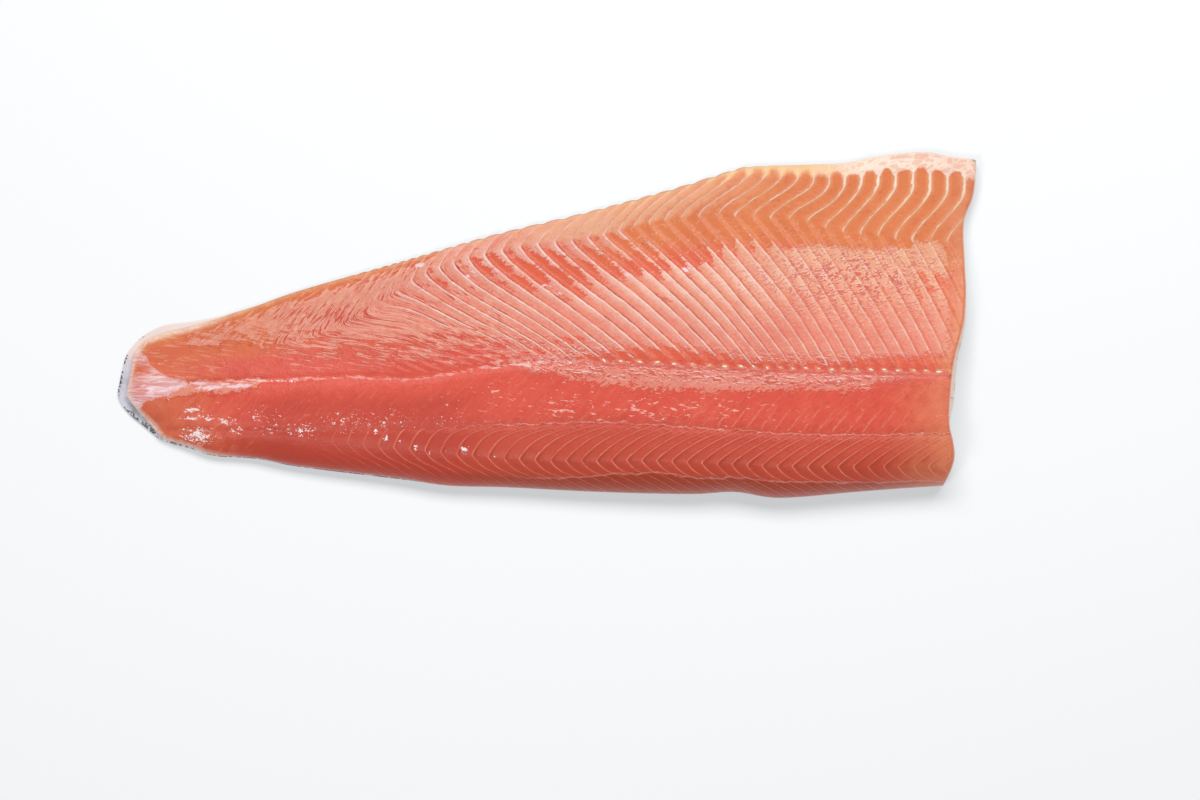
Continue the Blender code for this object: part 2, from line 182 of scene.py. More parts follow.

# The pale film over the slope, with the softbox's sheen painted into its colour, lies between these two
# lines, a rougher band of it past the pin bones, and a narrow ridge of it behind the tail tissue.
SHEENED_FILM_LOW = (
    (0.073, 0.442), (0.107, 0.439), (0.143, 0.448), (0.168, 0.432), (0.213, 0.404), (0.259, 0.39),
    (0.306, 0.376), (0.422, 0.386), (0.55, 0.4), (0.609, 0.432), (0.667, 0.427), (0.712, 0.402),
    (0.748, 0.386), (0.795, 0.379), (0.835, 0.382), (0.87, 0.4), (0.935, 0.41), (0.987, 0.427),
)
SHEENED_FILM_HIGH = (
    (0.073, 0.571), (0.213, 0.687), (0.329, 0.802), (0.446, 0.889), (0.515, 0.961), (0.545, 0.95),
    (0.568, 0.845), (0.591, 0.756), (0.62, 0.713), (0.655, 0.672), (0.679, 0.681), (0.702, 0.704),
    (0.725, 0.727), (0.76, 0.724), (0.795, 0.73), (0.842, 0.724), (0.888, 0.722), (0.935, 0.736),
    (0.958, 0.738), (0.974, 0.65), (0.987, 0.56),
)
BAND_LOW = (
    (0.45, 0.392), (0.5, 0.36), (0.56, 0.33), (0.609, 0.322), (0.679, 0.308), (0.748, 0.308),
    (0.818, 0.314), (0.865, 0.31), (0.915, 0.345), (0.95, 0.375),
)
BAND_ENDS = (0.4, 1.0)
RIDGE_LOW = ((0.05, 0.29), (0.08, 0.298), (0.12, 0.304), (0.15, 0.316), (0.17, 0.334))
RIDGE_HIGH = ((0.05, 0.338), (0.08, 0.338), (0.12, 0.341), (0.17, 0.345))
RIDGE_ENDS = (0.06, 0.165)
SHEENED_FILM_ENDS = (0.08, 0.968)

# The line above which the back muscle's lower arms end, along the back edge.
BACK_STRIP = (
    (0.131, 0.13), (0.329, 0.087), (0.422, 0.069), (0.515, 0.058), (0.605, 0.073), (0.632, 0.073),
    (0.667, 0.061), (0.727, 0.058), (0.775, 0.049), (0.943, 0.046), (1.0, 0.041),
)

# The silvery tissue at the tail end, between two lines, and how deep the fat of the belly edge is in metres.
TISSUE_HIGH = (
    (0.0, 0.458), (0.018, 0.448), (0.032, 0.408), (0.047, 0.368), (0.059, 0.352), (0.079, 0.34),
    (0.16, 0.33),
)
TISSUE_LOW = (
    (0.0, 0.24), (0.023, 0.254), (0.032, 0.277), (0.044, 0.289), (0.055, 0.297), (0.07, 0.312),
    (0.16, 0.329),
)
TISSUE_ENDS = (-0.1, 0.155)
FAT_DEPTH = (
    (0.68, 0.0), (0.74, 0.0026), (0.795, 0.0046), (0.842, 0.006), (0.875, 0.0082), (0.92, 0.0092),
    (0.96, 0.0094), (1.0, 0.0092),
)

# Spots on the surface, each as its share of the length and of the width, its half sizes in metres and its
# strength: bare specks in the film, with painted shade in them and painted highlights beside them, flesh left
# bare, scratches, painted highlights in the sheen, milky spots with painted highlights, flecks, glints.
SPECKED = (
    (0.86, 0.63, 0.08, 0.03, 1.0), (0.77, 0.66, 0.04, 0.014, 0.7), (0.667, 0.418, 0.056, 0.0055, 1.0),
    (0.906, 0.393, 0.024, 0.006, 0.9), (0.469, 0.44, 0.05, 0.006, 0.9), (0.54, 0.42, 0.04, 0.007, 1.0),
)
BARE = (
    (0.478, 0.655, 0.03, 0.011, 1.0), (0.535, 0.648, 0.022, 0.013, 0.9), (0.6, 0.7, 0.034, 0.017, 0.95),
    (0.376, 0.621, 0.01, 0.003, 0.7), (0.964, 0.62, 0.011, 0.01, 1.0), (0.94, 0.64, 0.01, 0.006, 0.8),
    (0.024, 0.372, 0.0074, 0.0044, 1.0), (0.487, 0.421, 0.01, 0.0024, 0.9),
    (0.525, 0.455, 0.013, 0.0035, 0.75), (0.668, 0.7, 0.018, 0.008, 0.9), (0.935, 0.6, 0.01, 0.008, 0.6),
    (0.56, 0.404, 0.016, 0.003, 0.6),
)
SCRATCHED = (
    (0.265, 0.52, 0.029, 0.008, 1.0), (0.175, 0.566, 0.024, 0.0064, 0.8), (0.236, 0.475, 0.021, 0.005, 0.8),
    (0.387, 0.462, 0.032, 0.0064, 1.0), (0.469, 0.442, 0.027, 0.0043, 0.8), (0.33, 0.59, 0.02, 0.007, 0.55),
    (0.3, 0.44, 0.05, 0.008, 0.7),
)
SHEEN_HIGHLIGHTS = (
    (0.505, 0.39, 0.034, 0.004, 0.9), (0.667, 0.615, 0.06, 0.016, 1.0), (0.44, 0.7, 0.06, 0.02, 0.5),
    (0.6, 0.6, 0.08, 0.02, 0.45), (0.63, 0.54, 0.05, 0.016, 0.55), (0.5, 0.398, 0.026, 0.0022, 1.0),
    (0.815, 0.344, 0.07, 0.0046, 1.0),
)
MILKY_SHEEN = (
    (0.352, 0.672, 0.0045, 0.0014, 1.0), (0.408, 0.64, 0.005, 0.0012, 0.9),
    (0.417, 0.655, 0.0035, 0.001, 0.7), (0.499, 0.612, 0.004, 0.0012, 0.9),
    (0.512, 0.59, 0.006, 0.001, 0.7), (0.594, 0.645, 0.0035, 0.0012, 0.8),
    (0.663, 0.66, 0.003, 0.0016, 1.0), (0.492, 0.393, 0.006, 0.0012, 0.8),
    (0.518, 0.396, 0.005, 0.001, 0.8), (0.548, 0.366, 0.008, 0.001, 0.7),
    (0.095, 0.331, 0.006, 0.001, 0.95), (0.125, 0.329, 0.005, 0.0008, 0.9),
    (0.11, 0.318, 0.012, 0.0024, 0.8), (0.142, 0.322, 0.012, 0.0024, 0.8),
    (0.19, 0.338, 0.014, 0.0012, 0.55), (0.688, 0.352, 0.007, 0.001, 0.8),
    (0.772, 0.343, 0.008, 0.001, 0.75), (0.832, 0.34, 0.006, 0.0009, 0.75),
)
FLECKED = (
    (0.53, 0.265, 0.058, 0.015, 0.9), (0.64, 0.262, 0.052, 0.012, 1.0), (0.7, 0.256, 0.046, 0.01, 0.9),
    (0.43, 0.29, 0.034, 0.012, 0.7), (0.78, 0.245, 0.06, 0.008, 0.5),
)
GLINTS = (
    (0.094, 0.18, 0.012, 0.0068, 1.15), (0.088, 0.254, 0.008, 0.003, 1.0),
    (0.087, 0.256, 0.0055, 0.0005, 1.5), (0.081, 0.229, 0.006, 0.0005, 1.4),
    (0.102, 0.226, 0.006, 0.0004, 1.3), (0.1, 0.232, 0.013, 0.0024, 1.05),
    (0.126, 0.222, 0.009, 0.004, 1.0), (0.055, 0.282, 0.005, 0.002, 0.7), (0.14, 0.196, 0.007, 0.004, 0.85),
    (0.175, 0.2, 0.014, 0.005, 0.75), (0.215, 0.2, 0.018, 0.0066, 0.78),
    (0.165, 0.235, 0.018, 0.0066, 0.74), (0.27, 0.22, 0.024, 0.009, 0.68),
    (0.325, 0.225, 0.024, 0.009, 0.62), (0.385, 0.23, 0.02, 0.009, 0.56), (0.301, 0.193, 0.002, 0.002, 1.2),
    (0.313, 0.173, 0.0022, 0.0024, 1.25), (0.33, 0.162, 0.002, 0.0016, 1.05),
    (0.347, 0.144, 0.0016, 0.002, 1.1), (0.364, 0.13, 0.0014, 0.0018, 1.05),
    (0.383, 0.13, 0.0014, 0.0016, 1.0), (0.405, 0.139, 0.0026, 0.003, 1.3),
    (0.42, 0.13, 0.0013, 0.0016, 1.1), (0.439, 0.121, 0.0011, 0.0022, 1.1), (0.52, 0.27, 0.04, 0.008, 0.5),
    (0.64, 0.24, 0.03, 0.006, 0.48), (0.42, 0.3, 0.04, 0.008, 0.42), (0.745, 0.25, 0.005, 0.003, 0.6),
    (0.475, 0.388, 0.03, 0.0014, 0.8), (0.54, 0.392, 0.024, 0.0014, 0.72),
    (0.175, 0.338, 0.03, 0.0011, 0.76), (0.085, 0.335, 0.012, 0.0012, 0.82),
)

# What the flesh keeps for its material: its spots, how far each place is from each edge, above or below each
# guide line, and inside the strips of film with a painted sheen.
SPOTS = {
    "specked": SPECKED, "bare": BARE, "scratched": SCRATCHED, "sheen_highlight": SHEEN_HIGHLIGHTS, "milky_sheen": MILKY_SHEEN,
    "flecked": FLECKED, "glints": GLINTS,
}
TO_EDGES = ("to_belly", "to_head", "to_back", "to_tail")
ABOVE_LINES = {"past_bend": BELLY_BEND, "past_bones": PIN_BONES}
BELOW_LINES = {"past_seam": BACK_SEAM, "past_tips": BACK_TIPS, "past_strip": BACK_STRIP}
SHEENED_FILM_STRIPS = (
    (SHEENED_FILM_LOW, SHEENED_FILM_HIGH, SHEENED_FILM_ENDS),
    (BAND_LOW, PIN_BONES, BAND_ENDS),
    (RIDGE_LOW, RIDGE_HIGH, RIDGE_ENDS),
)

# How many squares the flesh and the skin are netted in, along, across and down their sides; the steps of the
# outline for the nets and for distances; which of the two an outline is for; and the angle of a sharp edge.
FLESH_NET = (575, 138, 5)
SKIN_NET = (300, 100, 2)
NET_STEP = 0.0008
EDGE_STEP = 0.004
FLESH_SIDE, SKIN_SIDE = 1, -1
SHARP = np.radians(55)

# The flesh's sides: how far their foot is cut back and sunk into the skin, and how many flakes the pattern
# moves on for each metre down them.
UNDERCUT = 0.0006
SUNK = 0.0001
SIDE_DRIFT = 90

# The skin's rim: its share of the full thickness and its width, the width of the part that curls up, where
# towards the tail it does, as shares of the length from the middle, and how much of the curl its foot takes.
# Down its sides, the outer side's pattern comes in between two shares of the thickness.
RIM_THIN = 0.75
RIM_WIDTH = 0.001
CURL_WIDTH = 0.004
CURL_FROM = (0.3, 0.42)
CURL_FOOT = 0.8
UNDERSIDE = (0.4, 0.2)

# The notches along the belly edge: their depth, their width as a share of a flake, and where they start
# and end.
NOTCH = 0.0007
NOTCH_WIDTH = 0.2
NOTCHES_START = (0.24, 0.32)
NOTCHES_END = (0.22, 0.3)

# The row of pin bones: its ends, how far above its guide line it lies, how much of their stray they take
# across the row, the least and most that each is turned by and scaled to, and the warm colour in its grain.
BONE_ENDS = (0.553, 0.964)
BONE_LIFT = 0.0006
STRAY_ACROSS = 0.6
BONE_TURN = ((-0.3, -0.3, -1.2), (0.3, 0.3, 0.3))
BONE_GROW = (0.4, 1.3)
BONE_WARM = (1.0, 0.78, 0.58)

# Strokes in the film: their turn, length and width, then the detail, roughness and distortion of the noise.
# A bump of 1 stands out by BUMP.
COMB = (0.42, 0.003, 0.0009, 2, 0.6, 0.6)
RIDGED = (-0.1, 0.0044, 0.0015, 3, 0.6, 0.8)
BUMP = 0.001

# The stage: half the board's width and its gap under the fillet, each lamp's place, aim, width and depth,
# and what the camera takes in, at which height over the board, on a sensor of how many millimetres.
BOARD_HALF = 4.0
BOARD_GAP = 0.0002
BOARD_GREY = (0.8, 0.82, 0.86)
SKY_COLOUR = (0.97, 0.98, 1.0)
LAMP_COLOUR = (1.0, 0.99, 0.98)
SOFTBOX = ((0.26, 0.95, 1.55), (0.06, 0, 0), 1.5, 0.62)
FILL = ((-0.5, -0.55, 1.55), (-0.05, -0.03, 0), 0.45, 0.45)
SENSOR = 36
VIEW_WIDTH = 0.64297
VIEW_CENTRE = (0.02853, -0.04032)
VIEW_LEVEL = 0.012


def spot(x_share, y_share):
    """The place of a pair of shares of the length and of the width, in metres."""
    return (x_share - 0.5) * LENGTH, (y_share - 0.5) * WIDTH


def smooth_through(xs, ys, at):
    """A smooth line through a few points, level with the first and the last beyond them."""
    xs, ys, at = np.array(xs), np.array(ys), np.clip(at, xs[0], xs[-1])
    slopes = np.gradient(ys, xs)
    i = np.clip(np.searchsorted(xs, at) - 1, 0, len(xs) - 2)
    width = xs[i + 1] - xs[i]
    t = (at - xs[i]) / width
    start = ys[i] * (1 + 2 * t) * (1 - t) ** 2 + slopes[i] * width * t * (1 - t) ** 2
    end = ys[i + 1] * t**2 * (3 - 2 * t) - slopes[i + 1] * width * t**2 * (1 - t)
    return start + end


def guide(points, x):
    """The Y of a guide line at X."""
    xs, ys = zip(*(spot(*point) for point in points))
    return smooth_through(xs, ys, x)


def along(points, x):
    """The value at X of a curve given by shares of the length."""
    shares, values = zip(*points)
    return smooth_through(shares, values, x / LENGTH + 0.5)


def ease(x, start, full):
    """0 before start, 1 past full, and a smooth step between."""
    t = np.clip((x - start) / (full - start), 0, 1)
    return t * t * (3 - 2 * t)


def run_along(line):
    """How far along a line each of its points lies."""
    return np.concatenate([[0], np.cumsum(np.linalg.norm(np.diff(line[:, :2], axis=0), axis=1))])


def spread(line, count):
    """A line given by a number of even steps, keeping its two ends."""
    run = run_along(line)
    at = np.linspace(0, run[-1], count + 1)
    return np.stack([np.interp(at, run, column) for column in line.T], axis=1)


def resampled(line, step):
    """A line given by even steps of about one length."""
    line = np.array(line)
    return spread(line, max(1, round(run_along(line)[-1] / step)))


def curved(points, fine=12):
    """A curve through the points of one stretch of the outline (Catmull-Rom)."""
    points = np.array([(*spot(x, y), *(show or [-SET_BACK])) for x, y, *show in points])
    padded = np.concatenate([points[:1], points, points[-1:]])
    found = []
    for a, b, c, d in zip(padded, padded[1:], padded[2:], padded[3:]):
        for t in np.arange(fine) / fine:
            bend = (2 * a - 5 * b + 4 * c - d) * t**2 + (3 * b - a - 3 * c + d) * t**3
            found.append((2 * b + (c - a) * t + bend) / 2)
    return [*found, points[-1]]


def outline(step):
    """The outline as a closed clockwise line and as its stretches, with how far the skin shows."""
    tail = (*TAIL_END, BELLY_EDGE[0])
    belly = (*BELLY_EDGE, HEAD_CUT[0])
    back = (HEAD_CUT[-1], *BACK_EDGE, TAIL_END[0])
    stretches = [resampled(curved(part), step) for part in (belly, HEAD_CUT, back, tail)]
    return np.concatenate([part[:-1] for part in stretches]), stretches


def inset(line, widths):
    """A closed clockwise line moved inwards by a width at each point."""
    run = np.roll(line, -1, axis=0) - np.roll(line, 1, axis=0)
    inward = np.stack([run[:, 1], -run[:, 0]], axis=1)
    return line + inward / np.linalg.norm(inward, axis=1)[:, None] * np.array(widths)[:, None]


def distance_to(line, x, y):
    """How far each place is from an open line."""
    nearest = np.full(np.shape(x), 1.0)
    for (ax, ay), (bx, by) in zip(line[:-1, :2], line[1:, :2]):
        dx, dy = bx - ax, by - ay
        t = np.clip(((x - ax) * dx + (y - ay) * dy) / (dx * dx + dy * dy), 0, 1)
        nearest = np.minimum(nearest, np.hypot(x - ax - t * dx, y - ay - t * dy))
    return nearest


def edge_distance(stretches, x, y):
    """How far each place is from the nearest of the outline's stretches."""
    return np.min([distance_to(line, x, y) for line in stretches], axis=0)


def belly_shift(x, height):
    """How far along X a belly-side flake's line lies from its bend, at a height above or below it."""
    flap = np.clip(height / along(FLAP_RISE, x), 0, 1)
    swayed = (1 - FLAP_SWAY) * flap + FLAP_SWAY * ease(flap, 0, 1)
    slope = np.clip(-height / (guide(BELLY_BEND, x) - guide(PIN_BONES, x)), 0, 1)
    return along(FLAP_RUN, x) * swayed + along(SLOPE_RUN, x) * slope ** along(SLOPE_HOLLOW, x)


def back_shift(x, height):
    """How far along X a chevron's line lies from its tip, at a height above (or below) the tip."""
    seam = guide(BACK_SEAM, x) - guide(BACK_TIPS, x)
    upper = np.clip(height, 0, np.minimum(seam, 0.9 * along(ARM_REACH, x)))
    lower = np.clip(-height, 0, LOWER_ARM)
    arms = along(ARM_BEND, x) * np.log(1 - upper / along(ARM_REACH, x))
    arms += LOWER_BEND * np.log(1 - lower / LOWER_REACH)
    past_seam = np.maximum(height, 0) - upper
    past_arm = np.maximum(-height, 0) - lower
    return LEAN_UP * past_seam + LEAN_DOWN * past_arm - arms


def belly_phase(x, y):
    """The belly-side flakes counted from the tail, whole on each flake's line."""
    return along(BELLY_COUNT, x - belly_shift(x, y - guide(BELLY_BEND, x)))


def back_phase(x, y):
    """The back muscle's flakes counted from the tail, whole on each chevron."""
    return along(BACK_COUNT, x - back_shift(x, y - guide(BACK_TIPS, x)))


def flake_profile(phase):
    """One flake's height, -0.5 to 0.5: a crest on its line, a groove just past it, then a long rise."""
    share = phase % 1
    drop = 0.5 - share / GROOVE
    rise = (share - GROOVE) / (1 - GROOVE) - 0.5
    return np.where(share < GROOVE, drop, rise)


def relief(x, y):
    """The flakes and the seams on the surface of the flesh."""
    shows = ease(x / LENGTH + 0.5, FLAKES_FROM, FLAKES_FULL)
    past_bones = y - guide(PIN_BONES, x)
    past_seam = guide(BACK_SEAM, x) - y
    past_bend = y - guide(BELLY_BEND, x)
    on_flap = 1 - FLAP_FAINTER * ease(past_bend, 0, FADE_AT_SEAM)
    flakes = RELIEF * on_flap * ease(past_bones, 0, FADE_AT_SEAM) * flake_profile(belly_phase(x, y))
    chevrons = BACK_RELIEF * ease(past_seam, 0, FADE_AT_SEAM) * flake_profile(back_phase(x, y))
    seams = np.exp(-((past_bones / SEAM_WIDTH) ** 2)) + np.exp(-((past_seam / SEAM_WIDTH) ** 2))
    return shows * (flakes + chevrons) - SEAM_DEPTH * seams


def rounded(distance, edge):
    """The share of the height left at a distance from a rounded edge: a quarter of an ellipse."""
    width, rim = edge
    inner = 1 - np.clip(distance / width, 0, 1)
    return rim + (1 - rim) * np.sqrt(1 - inner**2)


def flesh_top(x, y, stretches):
    """The height of the flesh: a thick loin, a thin flap, rounded edges and the flakes."""
    loin = LOIN * along(LOIN_SHARE, x)
    flap = FLAP * along(FLAP_SHARE, x)
    bones, belly = guide(PIN_BONES, x), guide(BELLY_BEND, x)
    foot = belly + FLAP_FOOT
    climb = ease(foot - y, 0, foot - bones + CREST_PAST_BONES)
    height = np.minimum(flap, loin) * (1 - climb) + loin * climb
    for line, edge in zip(stretches, (BELLY_ROUND, HEAD_ROUND, BACK_ROUND, TAIL_ROUND)):
        height = height * rounded(distance_to(line, x, y), edge)
    return SKIN + GAP + height + relief(x, y) * ease(edge_distance(stretches, x, y), 0, FADE_AT_RIM)


def tone(red, green, blue):
    """A display colour, each part from 0 to 255, in the linear values that shaders use."""
    shares = np.array([red, green, blue]) / 255
    return [float(v) for v in np.where(shares < 0.04045, shares / 12.92, ((shares + 0.055) / 1.055) ** 2.4)]


def hue(name, description, *display):
    """A colour that a user may change."""
    return FloatVectorProperty(
        name=name, description=description, subtype="COLOR", min=0, max=1, default=tone(*display)
    )


def size(name, description, value, least=0.0, most=1.0):
    """A length that a user may change, in metres."""
    limits = dict(default=value, min=least, max=most)
    return FloatProperty(name=name, description=description, subtype="DISTANCE", unit="LENGTH", **limits)


def amount(name, description, value, least=0.0, most=1.0, **kind):
    """A number that a user may change."""
    return FloatProperty(name=name, description=description, default=value, min=least, max=most, **kind)


class FleshLook(bpy.types.PropertyGroup):
    loin: hue("Loin", "Flesh of the thick loin", 229, 88, 68)
    slope: hue("Slope", "Flesh between the pin bones and the flap", 229, 100, 66)
    flap: hue("Flap", "Flesh of the thin belly flap", 228, 128, 75)
    back: hue("Back", "Flesh of the back muscle", 204, 76, 54)
    strip: hue("Back edge", "Darkest flesh, along the back edge", 174, 64, 34)
    tail: hue("Tail", "Flesh at the tail end", 222, 108, 72)
    cut: hue("Head cut", "Flesh along the cut at the head end", 229, 142, 100)
    # Groove: deeper flesh in the gap past each flake, with painted shade in it. Crest: a pale edge with a
    # painted highlight, and the colour of the other painted highlights.
    groove_and_shade: hue("Groove", "The gap past each flake", 192, 62, 44)
    crest_and_highlight: hue("Crest", "The upper edge of each flake", 255, 214, 200)
    # Film and warm film: a pale milky film with the softbox's sheen painted into its colour.
    sheened_film: hue("Film", "The wet pale film over the slope", 236, 160, 142)
    sheened_film_warm: hue("Film, warm", "The film next to the flap", 241, 184, 144)
    fat: hue("Fat", "Lines and edge of fat on the flap", 255, 236, 218)
    fat_warm: hue("Fat, warm", "Fat where it is thin", 250, 212, 160)
    chevron: hue("Chevrons", "Lines of the back muscle", 236, 138, 112)
    # Specks: bare flesh and painted shade in the film's marks.
    speck_and_shade: hue("Specks", "Bare spots in the film", 210, 70, 48)
    tissue: hue("Tail tissue", "Silvery tissue at the tail end", 232, 170, 168)
    # Milky spots: thick film with a painted highlight; the same colour is in the tail tissue.
    milk_and_highlight: hue("Milky spots", "Thick milky spots of the film", 250, 226, 234)
    rim: hue("Belly rim", "The golden rim along the belly edge", 214, 136, 66)
    glint: hue("Glints", "Wet glints", 255, 246, 246)
    # Film cover: how strongly the film and its painted sheen are laid over the flesh.
    sheened_film_cover: amount("Film cover", "How strongly the film covers the flesh", 0.72, subtype="FACTOR")


class SkinLook(bpy.types.PropertyGroup):
    inner: hue("Inner side", "The side of the skin that carries the flesh", 214, 210, 222)
    flush: hue("Inner side, warm", "Inner side next to the belly edge and the head cut", 255, 228, 214)
    belly: hue("Belly", "Outer side along the belly edge", 226, 226, 224)
    band: hue("Side band", "Outer side along the middle", 206, 160, 164)
    back: hue("Back", "Outer side along the back edge", 92, 98, 92)
    spot: hue("Spots", "Dark spots and pigment", 44, 44, 48)
    scale_size: size("Scale size", "Width of one scale", 0.0016, 0.0005, 0.01)
    curl: size("Curl", "How far the bare rim lifts off the board", 0.0005, 0, 0.003)


class BoneLook(bpy.types.PropertyGroup):
    colour: hue("Bone", "Cut ends of the pin bones", 255, 238, 214)
    length: size("Length", "Length of a bone's cut end", 0.0022, 0.0002, 0.01)
    width: size("Width", "Width of a bone's cut end", 0.0009, 0.0002, 0.01)
    stray: size("Stray", "How far a bone may lie off its place in the row", 0.0007, 0.0, 0.003)
    seed: IntProperty(name="Seed", description="Which lot of turns, sizes and places is used", default=3)


class StageLook(bpy.types.PropertyGroup):
    board: hue("Board", "The plain surface under the fillet", 253, 254, 255)
    sky: amount("Sky", "Strength of the even light from all round", 0.51, 0, 5)
    softbox: amount("Softbox", "Power of the softbox beyond the belly edge", 17.6, 0, 500, unit="POWER")
    fill: amount("Fill", "Power of the small lamp beyond the tail", 3.4, 0, 500, unit="POWER")
    camera_height: size("Camera height", "Height of the camera over the board", 5.0, 0.5, 20)


class FilletLook(bpy.types.PropertyGroup):
    flesh: PointerProperty(type=FleshLook)
    skin: PointerProperty(type=SkinLook)
    bones: PointerProperty(type=BoneLook)
    stage: PointerProperty(type=StageLook)


class Field:
    """A value in a material's nodes, so that sums and products read plainly."""

    def __init__(self, graph, socket):
        self.graph, self.socket = graph, socket

    def math(self, operation, *others):
        return self.graph.node("ShaderNodeMath", [self, *others], operation=operation)

    __add__ = __radd__ = partialmethod(math, "ADD")
    __mul__ = __rmul__ = partialmethod(math, "MULTIPLY")
    __sub__ = partialmethod(math, "SUBTRACT")
    most, least = partialmethod(math, "MAXIMUM"), partialmethod(math, "MINIMUM")
    # How far the value is from 0, the whole number at or below it, and what is left past that.
    off, whole = partialmethod(math, "ABSOLUTE"), partialmethod(math, "FLOOR")
    share = partialmethod(math, "FRACT")

    def __rsub__(self, other):
        return self.graph.node("ShaderNodeMath", [other, self], operation="SUBTRACT")

    def within(self, start, full, fade, end):
        """1 from full to fade, and 0 before start and past end."""
        return self.smooth(start, full) * self.smooth(end, fade)

    def peak(self, gone, full):
        """1 where the value is 0 or within full of it, and 0 past gone."""
        return self.off().smooth(gone, full)

    def smooth(self, start, full):
        """0 at start, 1 at full, and a smooth step between."""
        return self.graph.node("ShaderNodeMapRange", [self, start, full], interpolation_type="SMOOTHSTEP")


class Graph:
    """A material, the nodes that make it, and the colour laid down so far."""

    def __init__(self, name):
        self.material = bpy.data.materials.new(name)
        self.material.use_nodes = True
        self.tree = self.material.node_tree
        self.shader = self.tree.nodes["Principled BSDF"]
        self.place = self.node("ShaderNodeTexCoord", [], output="Object")
        self.colour = None

    def feed(self, socket, value):
        """Links or sets one input."""
        if isinstance(value, Field):
            self.tree.links.new(value.socket, socket)
        elif socket.type == "RGBA":
            socket.default_value = (*value, 1)
        else:
            socket.default_value = value

    def node(self, kind, values, output=0, named=(), **settings):
        """A new node with its settings and inputs, as a field."""
        made = self.tree.nodes.new(kind)
        made.location = (len(self.tree.nodes) % 16 * 190 - 3400, 600 - len(self.tree.nodes) // 16 * 230)
        for key, value in settings.items():
            setattr(made, key, value)
        for socket, value in zip(made.inputs, values):
            if value is not None:
                self.feed(socket, value)
        for key, value in dict(named).items():
            self.feed(made.inputs[key], value)
        return Field(self, made.outputs[output])

    def read(self, name):
        """One of the mesh's own attributes."""
        return self.node("ShaderNodeAttribute", [], "Fac", attribute_name=name)

    def axis(self, index):
        """The place on the piece along X, Y or Z, in metres."""
        return self.node("ShaderNodeSeparateXYZ", [self.place], index)

    def vector(self, *parts):
        return self.node("ShaderNodeCombineXYZ", parts)

    def noise(self, where, scale, detail=2.0, roughness=0.5, distortion=0.0):
        """Cloudy noise about 0, from -0.5 to 0.5."""
        named = dict(Vector=where, Scale=scale, Detail=detail, Roughness=roughness, Distortion=distortion)
        return self.node("ShaderNodeTexNoise", [], "Fac", named) - 0.5

    def laid(self, turn, length, width, shift=(0, 0, 0)):
        """The place for strokes of a length and a width in metres, turned from the fillet's length."""
        named = {"Location": shift, "Rotation": (0, 0, turn), "Scale": (length, width, length)}
        return self.node("ShaderNodeMapping", [self.place], named=named, vector_type="TEXTURE")

    def brushed(self, turn, length, width, *kind, shift=(0, 0, 0)):
        """Noise drawn out in such strokes; kind gives its detail, roughness and distortion."""
        return self.noise(self.laid(turn, length, width, shift), 1.0, *kind)

    def cells(self, where, scale, **settings):
        """How far each place is from the middle, or the edge, of the cell that it lies in."""
        named = {"Vector": where, "Scale": scale}
        return self.node("ShaderNodeTexVoronoi", [], "Distance", named, **settings)

    def mix(self, share, first, second, blend="MIX"):
        """The second colour over the first, by a share."""
        named = {0: share, 6: first, 7: second}
        return self.node("ShaderNodeMix", [], 2, named, data_type="RGBA", blend_type=blend)

    def mix_value(self, share, first, second):
        """The second value in place of the first, by a share."""
        return self.node("ShaderNodeMix", [share, None, first, second])

    def lay(self, share, colour, blend="MIX"):
        """Lays a colour over what is there, by a share."""
        self.colour = self.mix(share, self.colour, colour, blend)

    def finish(self, height, distance, **values):
        """Wires the colour and the bumps, and sets the shader's own values."""
        bump = self.node("ShaderNodeBump", [], 0, {"Distance": distance, "Height": height})
        self.feed(self.shader.inputs["Base Color"], self.colour)
        self.feed(self.shader.inputs["Normal"], bump)
        for name, value in values.items():
            self.feed(self.shader.inputs[name.replace("_", " ")], value)
        return self.material


def cut_outline(side):
    """The four stretches of the flesh's or the skin's own outline, moved in where the other shows."""
    line, stretches = outline(NET_STEP)
    line = inset(line[:, :2], np.maximum(side * line[:, 2], 0))
    ends = np.cumsum([0] + [len(part) - 1 for part in stretches])
    closed = np.concatenate([line, line[:1]])
    belly, *others = [closed[start : end + 1] for start, end in zip(ends, ends[1:])]
    return [notched(belly), *others]


def notched(line):
    """The belly edge with a small notch where each flake's line meets it."""
    x, y = line.T
    side = (belly_phase(x, y) + 0.5) % 1 - 0.5
    shows = ease(x / LENGTH + 0.5, *NOTCHES_START) * ease(0.5 - x / LENGTH, *NOTCHES_END)
    return np.column_stack([x, y - NOTCH * shows * np.exp(-((side / NOTCH_WIDTH) ** 2))])


def net_over(stretches, along_steps, across_steps):
    """A net of places over the outline: its rows run from tail to head and its columns from back to belly."""
    belly, head, back, tail = stretches
    top, bottom = spread(belly, along_steps), spread(back, along_steps)[::-1]
    left, right = spread(tail, across_steps), spread(head, across_steps)[::-1]
    s = np.linspace(0, 1, along_steps + 1)[None, :, None]
    t = np.linspace(0, 1, across_steps + 1)[:, None, None]
    sides = (1 - t) * bottom[None] + t * top[None] + (1 - s) * left[:, None] + s * right[:, None]
    corners = (1 - t) * ((1 - s) * bottom[0] + s * bottom[-1]) + t * ((1 - s) * top[0] + s * top[-1])
    return sides - corners


def plan_of(side, net):
    """X and Y of a net over an outline, the outline in coarse steps, and shares of the way down the sides."""
    along_steps, across_steps, down_steps = net
    stretches = cut_outline(side)
    plan = net_over(stretches, along_steps, across_steps)
    coarse = [resampled(line, EDGE_STEP) for line in stretches]
    return plan[..., 0], plan[..., 1], coarse, np.linspace(0, 1, down_steps + 1)[1:]


def squares(index):
    """The four places at the corners of each square of a net."""
    corners = [index[:-1, :-1], index[:-1, 1:], index[1:, 1:], index[1:, :-1]]
    return np.stack([corner.ravel() for corner in corners], axis=1)


def rim_order(rows, columns):
    """The places of a net's rim, in order round it."""
    places = np.arange(rows * columns).reshape(rows, columns)
    return np.concatenate([places[0, :-1], places[:-1, -1], places[-1, :0:-1], places[:0:-1, 0]])


